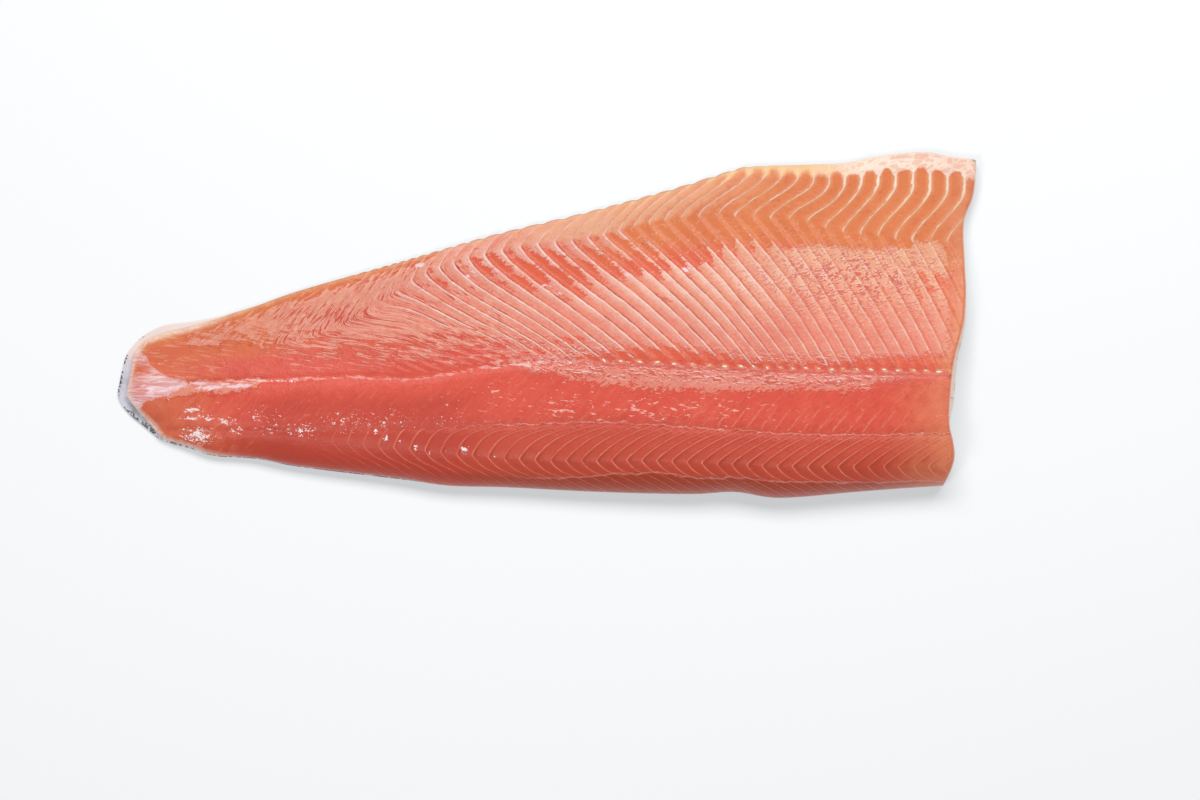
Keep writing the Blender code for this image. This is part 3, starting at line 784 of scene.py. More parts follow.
def closed_net(name, top, rim_rings, base):
    """A closed mesh: a net as its top, rings of places down its sides, and a net or one face as its base."""
    rows, columns = top.shape[:2]
    index = np.arange(rows * columns).reshape(rows, columns)
    faces, places = squares(index).tolist(), [top.reshape(-1, 3)]
    above, count = rim_order(rows, columns), rows * columns
    for ring in rim_rings:
        below = count + np.arange(len(ring))
        sides = [above, below, np.roll(below, -1), np.roll(above, -1)]
        faces += np.stack(sides, axis=1).tolist()
        places.append(ring)
        above, count = below, count + len(ring)
    if base is None:
        faces.append(above[::-1].tolist())
    else:
        inner = count + index
        inner.ravel()[rim_order(rows, columns)] = above
        places.append(base.reshape(-1, 3))
        faces += np.roll(squares(inner)[:, ::-1], 1, axis=1).tolist()
    mesh = bpy.data.meshes.new(name)
    mesh.from_pydata(np.concatenate(places).tolist(), [], faces)
    bm = bmesh.new()
    bm.from_mesh(mesh)
    bmesh.ops.delete(bm, geom=[v for v in bm.verts if not v.link_faces], context="VERTS")
    bmesh.ops.recalc_face_normals(bm, faces=bm.faces)
    bm.to_mesh(mesh)
    bm.free()
    mesh.shade_smooth()
    mesh.set_sharp_from_angle(angle=SHARP)
    return mesh


def places_of(mesh):
    """The mesh's places as three rows of numbers."""
    found = np.empty(len(mesh.vertices) * 3)
    mesh.vertices.foreach_get("co", found)
    return found.reshape(-1, 3).T


def keep(mesh, name, values):
    """Keeps one value for each place of a mesh, for its material to read."""
    mesh.attributes.new(name, "FLOAT", "POINT").data.foreach_set("value", np.asarray(values, np.float32))


def spots_at(spots, x, y):
    """How strongly the nearest of some soft oval spots covers each place."""
    found = np.zeros(np.shape(x))
    for x_share, y_share, half_length, half_width, strength in spots:
        cx, cy = spot(x_share, y_share)
        away = ((x - cx) / half_length) ** 2 + ((y - cy) / half_width) ** 2
        found = np.maximum(found, strength * np.exp(-away))
    return found


def between(low, high, ends, x, y):
    """How far inside a strip each place lies, in metres: below 0 outside it."""
    start, end = ((share - 0.5) * LENGTH for share in ends)
    return np.min([y - guide(low, x), guide(high, x) - y, x - start, end - x], axis=0)


def keep_flesh_fields(mesh, stretches):
    """Keeps on the flesh what its material is laid out by, lengths in millimetres."""
    x, y, z = places_of(mesh)
    lengths = {name: distance_to(line, x, y) for name, line in zip(TO_EDGES, stretches)}
    for name, line in ABOVE_LINES.items():
        lengths[name] = y - guide(line, x)
    for name, line in BELOW_LINES.items():
        lengths[name] = guide(line, x) - y
    lengths["sheened_film"] = np.max([between(*strip, x, y) for strip in SHEENED_FILM_STRIPS], axis=0)
    lengths["tissue"] = between(TISSUE_LOW, TISSUE_HIGH, TISSUE_ENDS, x, y)
    lengths["fat"] = along(FAT_DEPTH, x) - lengths["to_belly"]
    lengths["depth"] = depth = np.maximum(flesh_top(x, y, stretches) - z, 0)
    for name, values in lengths.items():
        keep(mesh, name, values * MM)
    keep(mesh, "belly_flakes", belly_phase(x, y) + SIDE_DRIFT * depth)
    keep(mesh, "back_flakes", back_phase(x, y) + SIDE_DRIFT * depth)
    keep(mesh, "from_tail", x / LENGTH + 0.5)
    for name, spots in SPOTS.items():
        keep(mesh, name, spots_at(spots, x, y))


class FleshPattern(Graph):
    """The flesh's material: what its mesh keeps for it, its noises, and where each kind of flesh lies."""

    def __init__(self, look):
        super().__init__("trout_flesh")
        self.look = look
        for name in (*ABOVE_LINES, *BELOW_LINES, *TO_EDGES, "specked"):
            setattr(self, name.removeprefix("past_"), self.read(name))
        self.tail, self.belly, self.back = map(self.read, ("from_tail", "belly_flakes", "back_flakes"))
        self.cut_side, self.above_skin = self.read("depth").smooth(0.15, 0.8), self.axis(2) * MM
        self.broad = self.noise(self.place, 26, 3)
        self.cloud = self.noise(self.place, 150, 3, 0.6)
        self.curd = self.noise(self.place, 330, 2, 0.6, 1.0)
        self.grain = self.noise(self.place, 680, 3, 0.65)
        self.worms = self.noise(self.place, 300, 1.5, 0.5, 2.2)
        self.comb = self.brushed(*COMB)
        self.ridge = self.brushed(*RIDGED)
        self.streaks = self.brushed(-0.14, 0.012, 0.0014, 3, 0.62, 0.7)
        self.rakes = self.brushed(0.62, 0.0065, 0.0012, 2, 0.6, 0.5)
        self.flow = self.noise(self.vector(self.belly * 1.6, self.bones * 0.05, 0), 1.0, 3, 0.6)
        raked = self.vector(self.belly * 4.6 + self.cloud, self.bones * 0.13, 3)
        self.strokes = self.noise(raked, 1.0, 2, 0.6, 0.6)
        wavy = self.belly + self.cloud * 0.16 + self.curd * 0.1
        self.share = wavy.share()
        self.patch = self.noise(self.vector(wavy.whole() * 2.31, self.bones * 0.11, 5), 1.0, 2, 0.6)
        self.side = (self.share + 0.5).share() - 0.5
        self.chevron_share = (self.back + self.cloud * 0.14 + self.curd * 0.08).share()
        self.on_flap = (self.bend + self.cloud * 3).smooth(-1.6, 1.4)
        self.on_back = (self.seam + self.curd * 1.2).smooth(0, 0.6)
        self.right, self.left = self.tail.smooth(0.7, 0.8), self.tail.smooth(0.54, 0.42)
        reach = (0.515 - self.tail).most(0) * 190
        flaky = self.bones.smooth(0.2, 2.5) * (1.0 - self.on_flap) * self.tail.smooth(0.28, 0.34)
        self.flaky = flaky * (self.bones - reach + self.cloud * 14).smooth(-4, 4)


# Each function below takes the flesh's pattern. A layer lays its colours over the last, and what later layers
# and the fine relief need of it is kept on the pattern.


def bare_flesh(f):
    """Bare flesh, from the loin up to the flap and down to the back edge."""
    look, lay, tail, cloud = f.look, f.lay, f.tail, f.cloud
    f.colour = look.loin
    lay((f.bones + cloud * 6 - f.left * 13).smooth(-3, 6), look.slope)
    warm = (f.bend + cloud * 12).smooth(-24, -8) * tail.smooth(0.5, 0.64)
    lay(warm.most(f.bend.smooth(-9, 2) * tail.smooth(0.3, 0.1)), look.flap)
    # Painted shade on the side of each flap flake that lies before the next line.
    foot = f.share.smooth(0.45, 0.95) * f.on_flap * tail.smooth(0.8, 0.66)
    lay(foot * 0.3, look.groove_and_shade)
    lay((f.seam + cloud * 12).smooth(-9, 6), look.back)
    # Painted shade just past each chevron line, near the tips.
    chevron_shade = f.chevron_share.smooth(0.95, 0.1) * (f.tips + cloud * 8).peak(10, 0)
    lay(chevron_shade * f.on_back * tail.smooth(0.3, 0.5) * 0.62, look.strip)
    lay((f.strip + f.curd * 3).smooth(-1.5, 1.0) * tail.smooth(0.2, 0.5), look.strip)
    lay(f.on_back * tail.smooth(0.9, 0.985) * 0.3, look.flap)
    low_edge = f.to_back.smooth(13, 4) * tail.within(0.16, 0.24, 0.45, 0.62)
    lay(low_edge * 0.4, look.strip)
    lay((tail + cloud * 0.12).smooth(0.16, 0.05), look.tail)
    rich = f.bones.within(0, 2, 18, 30) * tail.within(0.06, 0.14, 0.38, 0.46)
    lay(rich * 0.22, look.back)
    lit = (f.to_head + cloud * 30).smooth(40, 4) * f.bones.smooth(2, -8)
    lay(lit * 0.42, look.cut)
    edge = (f.to_head + cloud * 20).smooth(15, 2) * (f.bones.smooth(-3, 2) * 0.55 + 0.3)
    lay(edge * f.tips.smooth(8, -2), look.cut)
    dim = f.bones.smooth(-4, -16) * tail.within(0.12, 0.2, 0.36, 0.46)
    lay(dim * 0.62, look.groove_and_shade)
    golden = (f.to_belly + cloud * 8).smooth(7, 0.5) * tail.smooth(0.42, 0.3)
    lay(golden * 0.6, look.rim)
    rim = f.to_belly.smooth(3.2, 0.4) * tail.smooth(0.78, 0.66)
    lay(rim, look.cut)


def flesh_grain(f):
    """The mottling of the flesh, its threads past the pin bones and its pale veins towards the tail."""
    look, lay, tail = f.look, f.lay, f.tail
    mottle = (f.curd + f.grain * 0.8 + f.cloud).smooth(0.02, 0.45)
    lay(mottle * 0.32, look.groove_and_shade)
    threads = f.brushed(0.8, 0.011, 0.0022, 3, 0.6, 1.2) + f.grain * 0.4
    threads = threads * f.bones.smooth(2, -4) * (1.0 - f.on_back * tail.smooth(0.1, 0.26))
    lay(threads.smooth(0.02, 0.3) * 0.4, look.chevron)
    lay(threads.smooth(-0.02, -0.3) * 0.46, look.groove_and_shade)
    veins = f.streaks.smooth(0.07, 0.17) * f.bones.smooth(1, 4) * tail.smooth(0.36, 0.24)
    lay(veins * 0.6, look.sheened_film)


def sheened_film_reach(f):
    """Where the wet film and its painted sheen lie, combed at their edges, and how near to them each place
    is.
    """
    tail, share = f.tail, f.share
    low = f.low = f.bones.within(-10, -8, 4, 14) * tail.smooth(0.4, 0.5)
    combed = tail.smooth(0.44, 0.5) * (1.0 - low)
    ragged = f.cloud * 9 + f.curd * 5 + f.grain * 2
    ragged = ragged + f.comb * combed * 12 + f.ridge * low * 26
    ragged = ragged + (share - 0.45) * combed * (1.0 - f.right) * f.bones.smooth(1, 5) * 13
    wet = f.read("sheened_film") + ragged
    bare = f.read("bare") * 0.82 + f.patch * 1.6 + f.comb * 1.0 - share.smooth(0.3, 0.95) * 0.42
    wet = wet.least((0.4 - bare) * 22)
    # Towards the tail the film and its painted sheen thin out into streaks above the loin, and are raked
    # along the belly edge.
    foot = 16.0 + tail.smooth(0.24, 0.12) * 6 - tail.smooth(0.3, 0.42) * 5
    thin = (f.bones - foot) * 0.4 + f.bones.smooth(4, 1) * 20
    thin = thin + f.streaks * 31 + f.strokes * 14 + f.cloud * 8
    raked = f.to_belly * 0.9 - 3.6 + f.rakes * 18 + f.curd * 5
    thin = thin.least(f.mix_value(tail.smooth(0.44, 0.34), 9, raked))
    f.wet = f.mix_value(f.left, wet, wet.least(thin))
    f.cover, f.near = f.wet.smooth(0.0, 0.8), f.wet.smooth(-2.0, 3.0)


def wet_sheened_film(f):
    """The wet film with a painted sheen: thin at a flake's foot, bright at its crest and thick in milky
    spots.
    """
    look, lay, tail, share = f.look, f.lay, f.tail, f.share
    # Painted shade: a dark outline along the film's ragged edges.
    edge_shade = (f.wet + 0.5).peak(0.9, 0.1)
    lay(edge_shade * (0.25 + f.left * 0.2 + f.low * 0.3), look.groove_and_shade)
    # The painted sheen grows from a flake's foot towards its crest.
    lift = share.smooth(0.08, 0.75) * f.flaky + (1.0 - f.flaky) * 0.7
    deep = 0.53 + lift * 0.46 + f.right * (f.bones.smooth(30, 56) * 0.46 - 0.15)
    f.thick = f.cover * deep * (1.0 + f.patch * 0.9 + f.curd * 0.8 + f.comb * 0.7)
    warm = f.bones.smooth(16, 42) * tail.smooth(0.5, 0.72) * 0.85 + f.curd * 1.3 + f.comb * 0.7 + 0.12
    shade = f.mix(warm.most(0).least(1), look.sheened_film, look.sheened_film_warm)
    lay(f.thick * look.sheened_film_cover, shade)
    # Painted highlights in the sheen towards each crest, and milky spots with painted highlights.
    crested = f.mix_value(f.bones.smooth(1, 4), 0.25, share.smooth(0.2, 0.95))
    sheen_highlight = f.thick * f.read("sheen_highlight") * crested
    lay(sheen_highlight * 0.85, look.crest_and_highlight)
    milky_sheen = f.read("milky_sheen") * 0.9 + f.strokes * 1.3 + f.rakes * 0.9
    lay(milky_sheen.smooth(0.42, 0.66) * 0.85, look.milk_and_highlight)


def film_marks_light_and_shade(f):
    """Scratches with painted highlights as lips, bare specks with painted shade beside painted highlights,
    the rough film by the pin bones with painted shade and highlights, and wisps.
    """
    look, lay, low = f.look, f.lay, f.low
    # Dark scratches with painted highlights along both sides.
    scratch = f.strokes + f.read("scratched") * 0.16
    scratch_highlights = (scratch - 0.1).peak(0.045, 0.0) * f.left * f.cover
    lay(scratch_highlights * 0.4, look.crest_and_highlight)
    scratch = scratch.smooth(0.13, 0.18) * f.left
    # The same strokes moved a little aside: a painted highlight beside each dark speck.
    beside = f.brushed(*COMB, shift=(0.0004, 0.0006, 0))
    stroke = (f.comb + f.curd * 0.9 + f.worms * 0.3 + f.specked * 0.13).smooth(0.12, 0.2)
    pale_highlight = (beside + f.curd * 0.9 + f.specked * 0.13).smooth(0.1, 0.22)
    stroke = stroke * (0.06 + f.specked * 0.94)
    # The rough band by the pin bones: painted shade in its gaps and a painted highlight on the side above
    # them.
    above = f.brushed(*RIDGED, shift=(0.0002, 0.0007, 0))
    gap_shade = (f.ridge + f.curd * 0.5 + f.right * 0.02).smooth(0.01, 0.08) * low
    lit = (above + f.curd * 0.5).smooth(0.0, 0.12) * low
    lay((pale_highlight * f.specked * 0.6).most(lit * 0.8) * f.cover, look.crest_and_highlight)
    wisps = (f.comb + f.curd * 0.6 + f.worms * 0.5).smooth(0.13, 0.24) * f.bones.smooth(26, 36)
    wisps = wisps * f.tail.smooth(0.5, 0.62) * (1.0 - f.on_flap) * (1.0 - f.cover)
    lay(wisps * 0.6, look.sheened_film_warm)
    f.speck_and_shade = (stroke * f.cover).most(gap_shade * f.cover.most(0.35)).most(scratch * f.cover)
    lay(f.speck_and_shade * 0.85, look.speck_and_shade)


def flap_plank_sheen(f):
    """A painted sheen on the pale side of each of the flap's flakes."""
    look, tail, cloud = f.look, f.tail, f.cloud
    # Painted sheen just past each of the flap's lines, fading before the next.
    pale_highlight = f.to_belly + f.share * 10 + cloud * 16 + f.comb * 10
    plank_sheen = f.on_flap * pale_highlight.smooth(28, 12) * (tail + cloud * 0.08).smooth(0.8, 0.62)
    plank_sheen = plank_sheen * tail.smooth(0.12, 0.26) * (f.share * -0.55 + 1.0)
    broken = (f.rakes * 4 + cloud * 2 + 0.25).smooth(0, 0.8)
    f.lay(plank_sheen * f.mix_value(f.left, 1.0, broken * 0.6), look.sheened_film_warm)


def flap_fat(f):
    """The lines of fat on the flap, the fat along its edge and the net in it at the head end."""
    look, lay, tail, cloud, side = f.look, f.lay, f.tail, f.cloud, f.side
    rise = (f.bend + cloud * 8).smooth(6, 32) * tail.smooth(0.72, 0.86)
    half = rise * 0.034 + 0.034 + cloud * 0.14
    halo = side.peak(0.34, 0.04) * f.on_flap * tail.smooth(0.52, 0.64)
    lay(halo * (0.3 + rise * 0.2), look.sheened_film_warm)
    line = (side.off() - half - f.curd * 0.08).smooth(0.045, -0.04) * f.on_flap * tail.smooth(0.24, 0.33)
    f.line = line * (0.6 + rise * 0.36 + f.patch * 1.6 + cloud)
    flare = side.peak(0.34, 0.02) * 2.6 * tail.smooth(0.52, 0.66)
    fat = f.read("fat") - 0.6 + flare + cloud * 6 + f.curd * 2.5 + f.patch * 5
    shade = f.mix((tail + cloud * 0.1).smooth(0.8, 0.87), look.fat_warm, look.fat)
    net = f.cells(f.laid(0.35, 0.0062, 0.0026), 1.0, feature="DISTANCE_TO_EDGE")
    holes = (net + cloud * 0.7 + f.curd * 0.25).smooth(0.04, 0.22) * tail.smooth(0.8, 0.88)
    holes = holes * f.to_belly.smooth(0.5, 1.3)
    thread = f.mix(f.to_belly.smooth(12, 26) * 0.6, look.fat, look.fat_warm)
    lay(f.line, f.mix(tail.smooth(0.56, 0.84), look.crest_and_highlight, thread))
    fat = f.mix_value(tail.smooth(0.8, 0.9), fat.smooth(-2.8, 2.6), fat.smooth(-0.6, 0.9))
    lay(fat * 0.92, f.mix(holes * 0.36, shade, look.flap))
    rim = f.to_belly.smooth(0.9, 0.25) * tail.within(0.1, 0.2, 0.7, 0.76)
    lay(rim * 0.6, look.rim)


def slope_lines(f):
    """Crests of the slope, pale with a painted highlight, and its grooves, deeper red with painted shade."""
    look, lay, side, patch = f.look, f.lay, f.side, f.patch
    faint = (1.0 - f.right * 0.42) * (0.04 + f.near * 0.96) * (1.0 - f.specked * f.right * 0.6)
    # The crest: a pale line with a painted highlight; the groove past it: painted shade.
    crest_and_highlight = (side + 0.08).off() - 0.055 - patch * 0.1
    f.crest_and_highlight = crest_and_highlight.smooth(0.065, -0.02) * f.flaky * (0.8 + patch * 1.9 + f.curd * 1.5) * faint
    groove_and_shade = (side - 0.055 - f.curd * 0.04).peak(0.062, 0.005) * f.flaky * faint
    f.groove_and_shade = groove_and_shade * (0.6 + patch * 3.0 + f.cloud * 2.4).least(1.0)
    lay(f.groove_and_shade * 0.78, look.groove_and_shade)
    lay((f.crest_and_highlight * 0.9).least(0.95), look.crest_and_highlight)


def chevrons(f):
    """The chevrons of the back muscle and the fainter lines above its seam."""
    look, lay, tail, cloud, curd = f.look, f.lay, f.tail, f.cloud, f.curd
    line = ((f.chevron_share + 0.5).share() - 0.5).peak(0.092, 0.01)
    f.chevron = line * f.on_back * (tail.smooth(0.2, 0.34) * 0.5 + tail.smooth(0.36, 0.6) * 0.24)
    f.chevron = f.chevron * (1.0 + cloud * 3.2 + curd * 1.4)
    lay(f.chevron * (1.0 - f.strip.smooth(-0.8, 0.8) * 0.4), look.chevron)
    above = (f.back + cloud * 0.5 + curd * 0.3 + 0.3).share() - 0.5
    up = 0 - f.seam
    above = above.peak(0.11, 0.02) * up.smooth(0.3, 2) * (up + cloud * 14).smooth(16, 9)
    above = above * tail.within(0.6, 0.74, 0.9, 0.95) * (0.5 + cloud * 2.4 + curd * 2)
    lay(above, look.chevron)


def loin_lines(f):
    """The flecks of the loin, its seam, the line of the back strip and the row of pin bones."""
    look, lay, tail, cloud, curd, seam = f.look, f.lay, f.tail, f.cloud, f.curd, f.seam
    fleck = f.brushed(-0.06, 0.005, 0.0015, 2, 0.55, 0.8) + f.read("flecked") * 0.18
    fleck = (fleck + curd * 0.2).smooth(0.25, 0.35) * f.bones.smooth(-3, -6) * seam.smooth(0.5, -1)
    lay(fleck * 0.66, look.crest_and_highlight)
    seam_line = (seam + cloud * 5 + curd * 2).peak(0.55, 0.15)
    f.seam_line = seam_line * (0.62 + f.flow * 2.4 + curd * 1.6) * tail.smooth(0.34, 0.5)
    under_seam = (seam - 0.9 + cloud * 5).peak(0.7, 0.2) * tail.smooth(0.36, 0.5)
    lay(under_seam * 0.35, look.groove_and_shade)
    f.strip_line = (f.strip + cloud * 4).peak(0.7, 0.15) * tail.smooth(0.42, 0.54) * (0.7 + curd * 2)
    shine = (f.streaks * 2 + f.ridge * 2.6 + 0.36).smooth(0.15, 0.8)
    bone_line = (f.bones + cloud * 5).peak(1.3, 0.35) * tail.smooth(0.57, 0.5)
    calm = tail.within(0.17, 0.25, 0.41, 0.47)
    bone_line = bone_line * tail.smooth(0.08, 0.14) * shine * (1.0 - calm * 0.38)
    lay((f.seam_line * 0.95).most(f.strip_line * 0.6), look.sheened_film)
    lay(bone_line * 0.8, look.crest_and_highlight)
    row = tail.within(0.54, 0.58, 0.97, 0.99)
    under = (f.bones + 1.6 + cloud * 3).peak(0.9, 0.2) * row
    lay(under * 0.55, look.groove_and_shade)
    mark = f.side.peak(0.34, 0.12) * (f.bones - 0.6 + cloud * 3).peak(1.5, 0.5) * row
    lay(mark * 0.4, look.sheened_film_warm)


def head_cut(f):
    """The cut face at the head end: the flakes as bowed lines one inside another."""
    look, cloud, curd = f.look, f.cloud, f.curd
    across = (f.axis(1) * MM + 52) * 0.42
    up = f.above_skin - 5
    bowed = (across * across + up * up).math("SQRT") + cloud * 6 + curd * 1.5
    arcs = ((bowed * 0.25).share() - 0.5).peak(0.14, 0.03) * (0.7 + curd * 1.8)
    face = f.mix((f.bones + cloud * 20).smooth(-16, 34), look.loin, look.flap)
    face = f.mix((cloud * 1.4 + f.grain * 0.6).smooth(-0.15, 0.35) * 0.35, face, look.cut)
    face = f.mix(arcs * 0.75, face, look.chevron)
    shown = f.cut_side * f.to_head.smooth(1.2, 0.4) * f.to_belly.smooth(5, 9)
    f.lay(shown * 0.94, face)


def tail_tissue(f):
    """The silvery tissue at the tail end, with its pale border, and the gauze beside it."""
    look, lay, cloud = f.look, f.lay, f.cloud
    veil = f.noise(f.vector(f.tail * 40, f.bones * 0.55, 0), 1.0, 3, 0.6, 1.0)
    tissue = f.read("tissue") + cloud * 6 + f.curd * 3
    borders = (tissue - 0.8).peak(1.2, 0.1) * f.tail.smooth(0.085, 0.06)
    tissue = tissue.smooth(-0.3, 2.6) * (0.8 + veil * 1.6).most(0).least(0.95) * (1.0 - f.read("bare"))
    lay(tissue, f.mix((veil + 0.5).smooth(0.36, 0.66), look.tissue, look.milk_and_highlight))
    lay(borders * 0.3, look.milk_and_highlight)
    gauze = (veil * 1.6 + f.streaks * 1.4 + 0.1).smooth(0.1, 0.45) * f.tail.smooth(0.13, 0.03)
    lay(gauze * f.bones.smooth(0, 3) * 0.45, look.sheened_film_warm)


def wet_glints(f):
    """Wet glints and small bright dots."""
    gleam = f.brushed(-0.35, 0.0036, 0.0011, 2, 0.6, 0.6)
    shards = f.brushed(0.95, 0.0018, 0.0006, 2, 0.6, 0.5)
    glints = f.read("glints")
    spark = (glints * 0.52 + gleam * 1.4 + shards * 0.9).smooth(0.54, 0.62)
    dots = (f.grain * 1.3 + f.curd * 0.6 + glints * 0.38).smooth(0.44, 0.52)
    f.lay(spark.most(dots), f.look.glint)


def rims(f):
    """The fringe of fat at the tail, a thin painted highlight along the rim, and a slow change over the
    whole.
    """
    look, lay, cloud = f.look, f.lay, f.cloud
    edge = f.to_back.least(f.to_tail)
    fringe = edge.least(f.to_belly * 0.8).smooth(3.2, 0.2) * f.tail.smooth(0.16, 0.08)
    lay(fringe * (0.55 + f.curd * 1.5), look.fat)
    # A thin painted highlight along the back, tail and head rims, off the cut sides.
    rim = edge.least(f.to_head * 0.8).smooth(0.6, 0.1) * (1.0 - f.cut_side)
    lay(rim * (0.55 - f.on_back * 0.27), look.crest_and_highlight)
    over_skin = (f.above_skin + cloud * 4 + f.curd * 2).smooth(3.6, 1.4) * f.cut_side
    lay(over_skin * 0.45, look.sheened_film_warm)
    lay((f.broad + cloud * 0.7).smooth(-0.3, 0.3) * 0.16, look.back, "MULTIPLY")


def fine_relief(f):
    """The fine relief over the shape of the mesh."""
    height = f.crest_and_highlight * 0.2 - f.groove_and_shade * 0.3 - f.chevron * 0.08 - f.line * 0.1
    height = height - f.seam_line * 0.25 - f.strip_line * 0.2 - f.speck_and_shade * 0.05
    height = height + f.comb * f.cover * 0.16 + f.ridge * 0.1 + f.grain * 0.08
    return height + f.cloud * 0.25 + f.curd * (0.1 + f.thick * 0.15) + f.worms * 0.12


def flesh_material(look):
    """Flakes, their grooves with painted shade and crests with painted highlights, the back's chevrons, the
    wet film with a painted sheen, fat and tail tissue.
    """
    f = FleshPattern(look)
    sheened_film_reach(f)
    under = (bare_flesh, flesh_grain, wet_sheened_film, film_marks_light_and_shade, flap_plank_sheen, flap_fat)
    over = (slope_lines, chevrons, loin_lines, head_cut, tail_tissue, wet_glints, rims)
    for layer in under + over:
        layer(f)
    rough = 0.34 + f.to_belly.smooth(9, 2) * 0.25 + f.curd * 0.15
    return f.finish(fine_relief(f), BUMP, Roughness=rough, Specular_IOR_Level=0.38)


def skin_material(look):
    """Inner side pale and silvery; outer side with scales, a side band and dark spots."""
    g = Graph("trout_skin")
    lay = g.lay
    across, to_edge, under = map(g.read, ("across", "to_edge", "under"))
    cloud, grain = g.noise(g.place, 120, 3, 0.6), g.noise(g.place, 700, 3, 0.6)
    scales, spots = g.cells(g.place, 1 / look.scale_size), g.cells(g.place, 95)
    g.colour = look.belly
    lay((across + cloud * 0.08).smooth(0.62, 0.5), look.band)
    lay((across + cloud * 0.1).smooth(0.44, 0.26), look.back)
    lay(scales.smooth(0.2, 0.8) * 0.35, look.spot)
    dark = (spots + cloud * 0.25).smooth(0.34, 0.26) * (across + cloud * 0.2).smooth(0.62, 0.4)
    lay(dark * 0.9, look.spot)
    outer, g.colour = g.colour, look.inner
    head, high = g.read("from_tail").smooth(0.88, 0.95), g.axis(1).smooth(-0.026, -0.012)
    lay((across + cloud * 0.2).smooth(0.42, 0.54).most(head).most(high * 0.8), look.flush)
    dusk = (cloud * 1.2 + grain * 0.5).smooth(-0.1, 0.35) * across.smooth(0.5, 0.2)
    lay(dusk * (0.6 - head * 0.5), look.back)
    pigment = (grain + cloud * 1.1 - to_edge * 0.11 + across.smooth(0.34, 0.18) * 0.12).smooth(0.02, 0.1)
    pigment = pigment * to_edge.smooth(2.4, 1.2) * across.smooth(0.52, 0.4) * (1.0 - head * 0.7)
    lay(pigment * 0.9, look.spot)
    lay(under, outer)
    height = (1.0 - scales) * 0.1 * under + cloud * 0.15 + grain * 0.05
    return g.finish(height, BUMP, Roughness=0.3, Coat_Weight=0.4, Coat_Roughness=0.12)


def bone_material(look):
    """The chalky cut end of a bone."""
    g = Graph("pin_bone")
    g.colour = look.colour
    grain = g.noise(g.place, 900, 2)
    g.lay((grain + 0.5).smooth(0.3, 0.8) * 0.4, BONE_WARM)
    return g.finish(grain, BUMP / 10, Roughness=0.4, Coat_Weight=0.3, Coat_Roughness=0.15)


def add_piece(name, mesh, material):
    """Adds a finished mesh to the scene as a piece of the fillet, which throws no colour on the board."""
    obj = bpy.data.objects.new(name, mesh)
    mesh.materials.clear()
    mesh.materials.append(material)
    bpy.context.scene.collection.objects.link(obj)
    obj.visible_diffuse = False
    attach(obj, "root")
    return obj


class FILLET_OT_flesh(bpy.types.Operator):
    """Make the flesh: one closed form with its flakes, film with a painted sheen, and fat"""

    bl_idname = "fillet.flesh"
    bl_label = "Flesh"

    def execute(self, context):
        x, y, coarse, shares = plan_of(FLESH_SIDE, FLESH_NET)
        top = np.dstack([x, y, flesh_top(x, y, coarse)])
        rim = top.reshape(-1, 3)[rim_order(*x.shape)]
        inner = inset(rim[::-1, :2], [UNDERCUT] * len(rim))[::-1]
        rings = []
        for share in shares:
            ring = np.column_stack([rim[:, :2] + (inner - rim[:, :2]) * share**2, rim[:, 2]])
            ring[:, 2] += (SKIN - SUNK - ring[:, 2]) * share
            rings.append(ring)
        mesh = closed_net("flesh_dressed", top, rings, None)
        keep_flesh_fields(mesh, coarse)
        obj = add_piece("flesh_dressed", mesh, flesh_material(context.scene.fillet.flesh))
        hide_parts("flesh")
        return {"FINISHED"}


def curled(look, stretches, x, y):
    """How far each place of the skin is from its edge, and how far it lifts off the board there."""
    to_edge = edge_distance(stretches, x, y)
    return to_edge, look.curl * ease(-to_edge, -CURL_WIDTH, 0) * ease(-x / LENGTH, *CURL_FROM)


class FILLET_OT_skin(bpy.types.Operator):
    """Make the skin: a thin sheet whose bare rim lifts a little off the board"""

    bl_idname = "fillet.skin"
    bl_label = "Skin"

    def execute(self, context):
        look = context.scene.fillet.skin
        x, y, coarse, shares = plan_of(SKIN_SIDE, SKIN_NET)
        to_edge, lift = curled(look, coarse, x, y)
        top = np.dstack([x, y, SKIN * (RIM_THIN + (1 - RIM_THIN) * ease(to_edge, 0, RIM_WIDTH)) + lift])
        base = np.dstack([x, y, lift * CURL_FOOT])
        order = rim_order(*x.shape)
        rim, foot = top.reshape(-1, 3)[order], base.reshape(-1, 3)[order]
        mesh = closed_net("skin_dressed", top, [rim + (foot - rim) * share for share in shares], base)
        x, y, z = places_of(mesh)
        to_edge, lift = curled(look, coarse, x, y)
        keep(mesh, "to_edge", to_edge * MM)
        keep(mesh, "across", y / WIDTH + 0.5)
        keep(mesh, "from_tail", x / LENGTH + 0.5)
        keep(mesh, "under", ease((z - lift) / SKIN, *UNDERSIDE))
        obj = add_piece("skin_dressed", mesh, skin_material(look))
        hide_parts("skin")
        return {"FINISHED"}


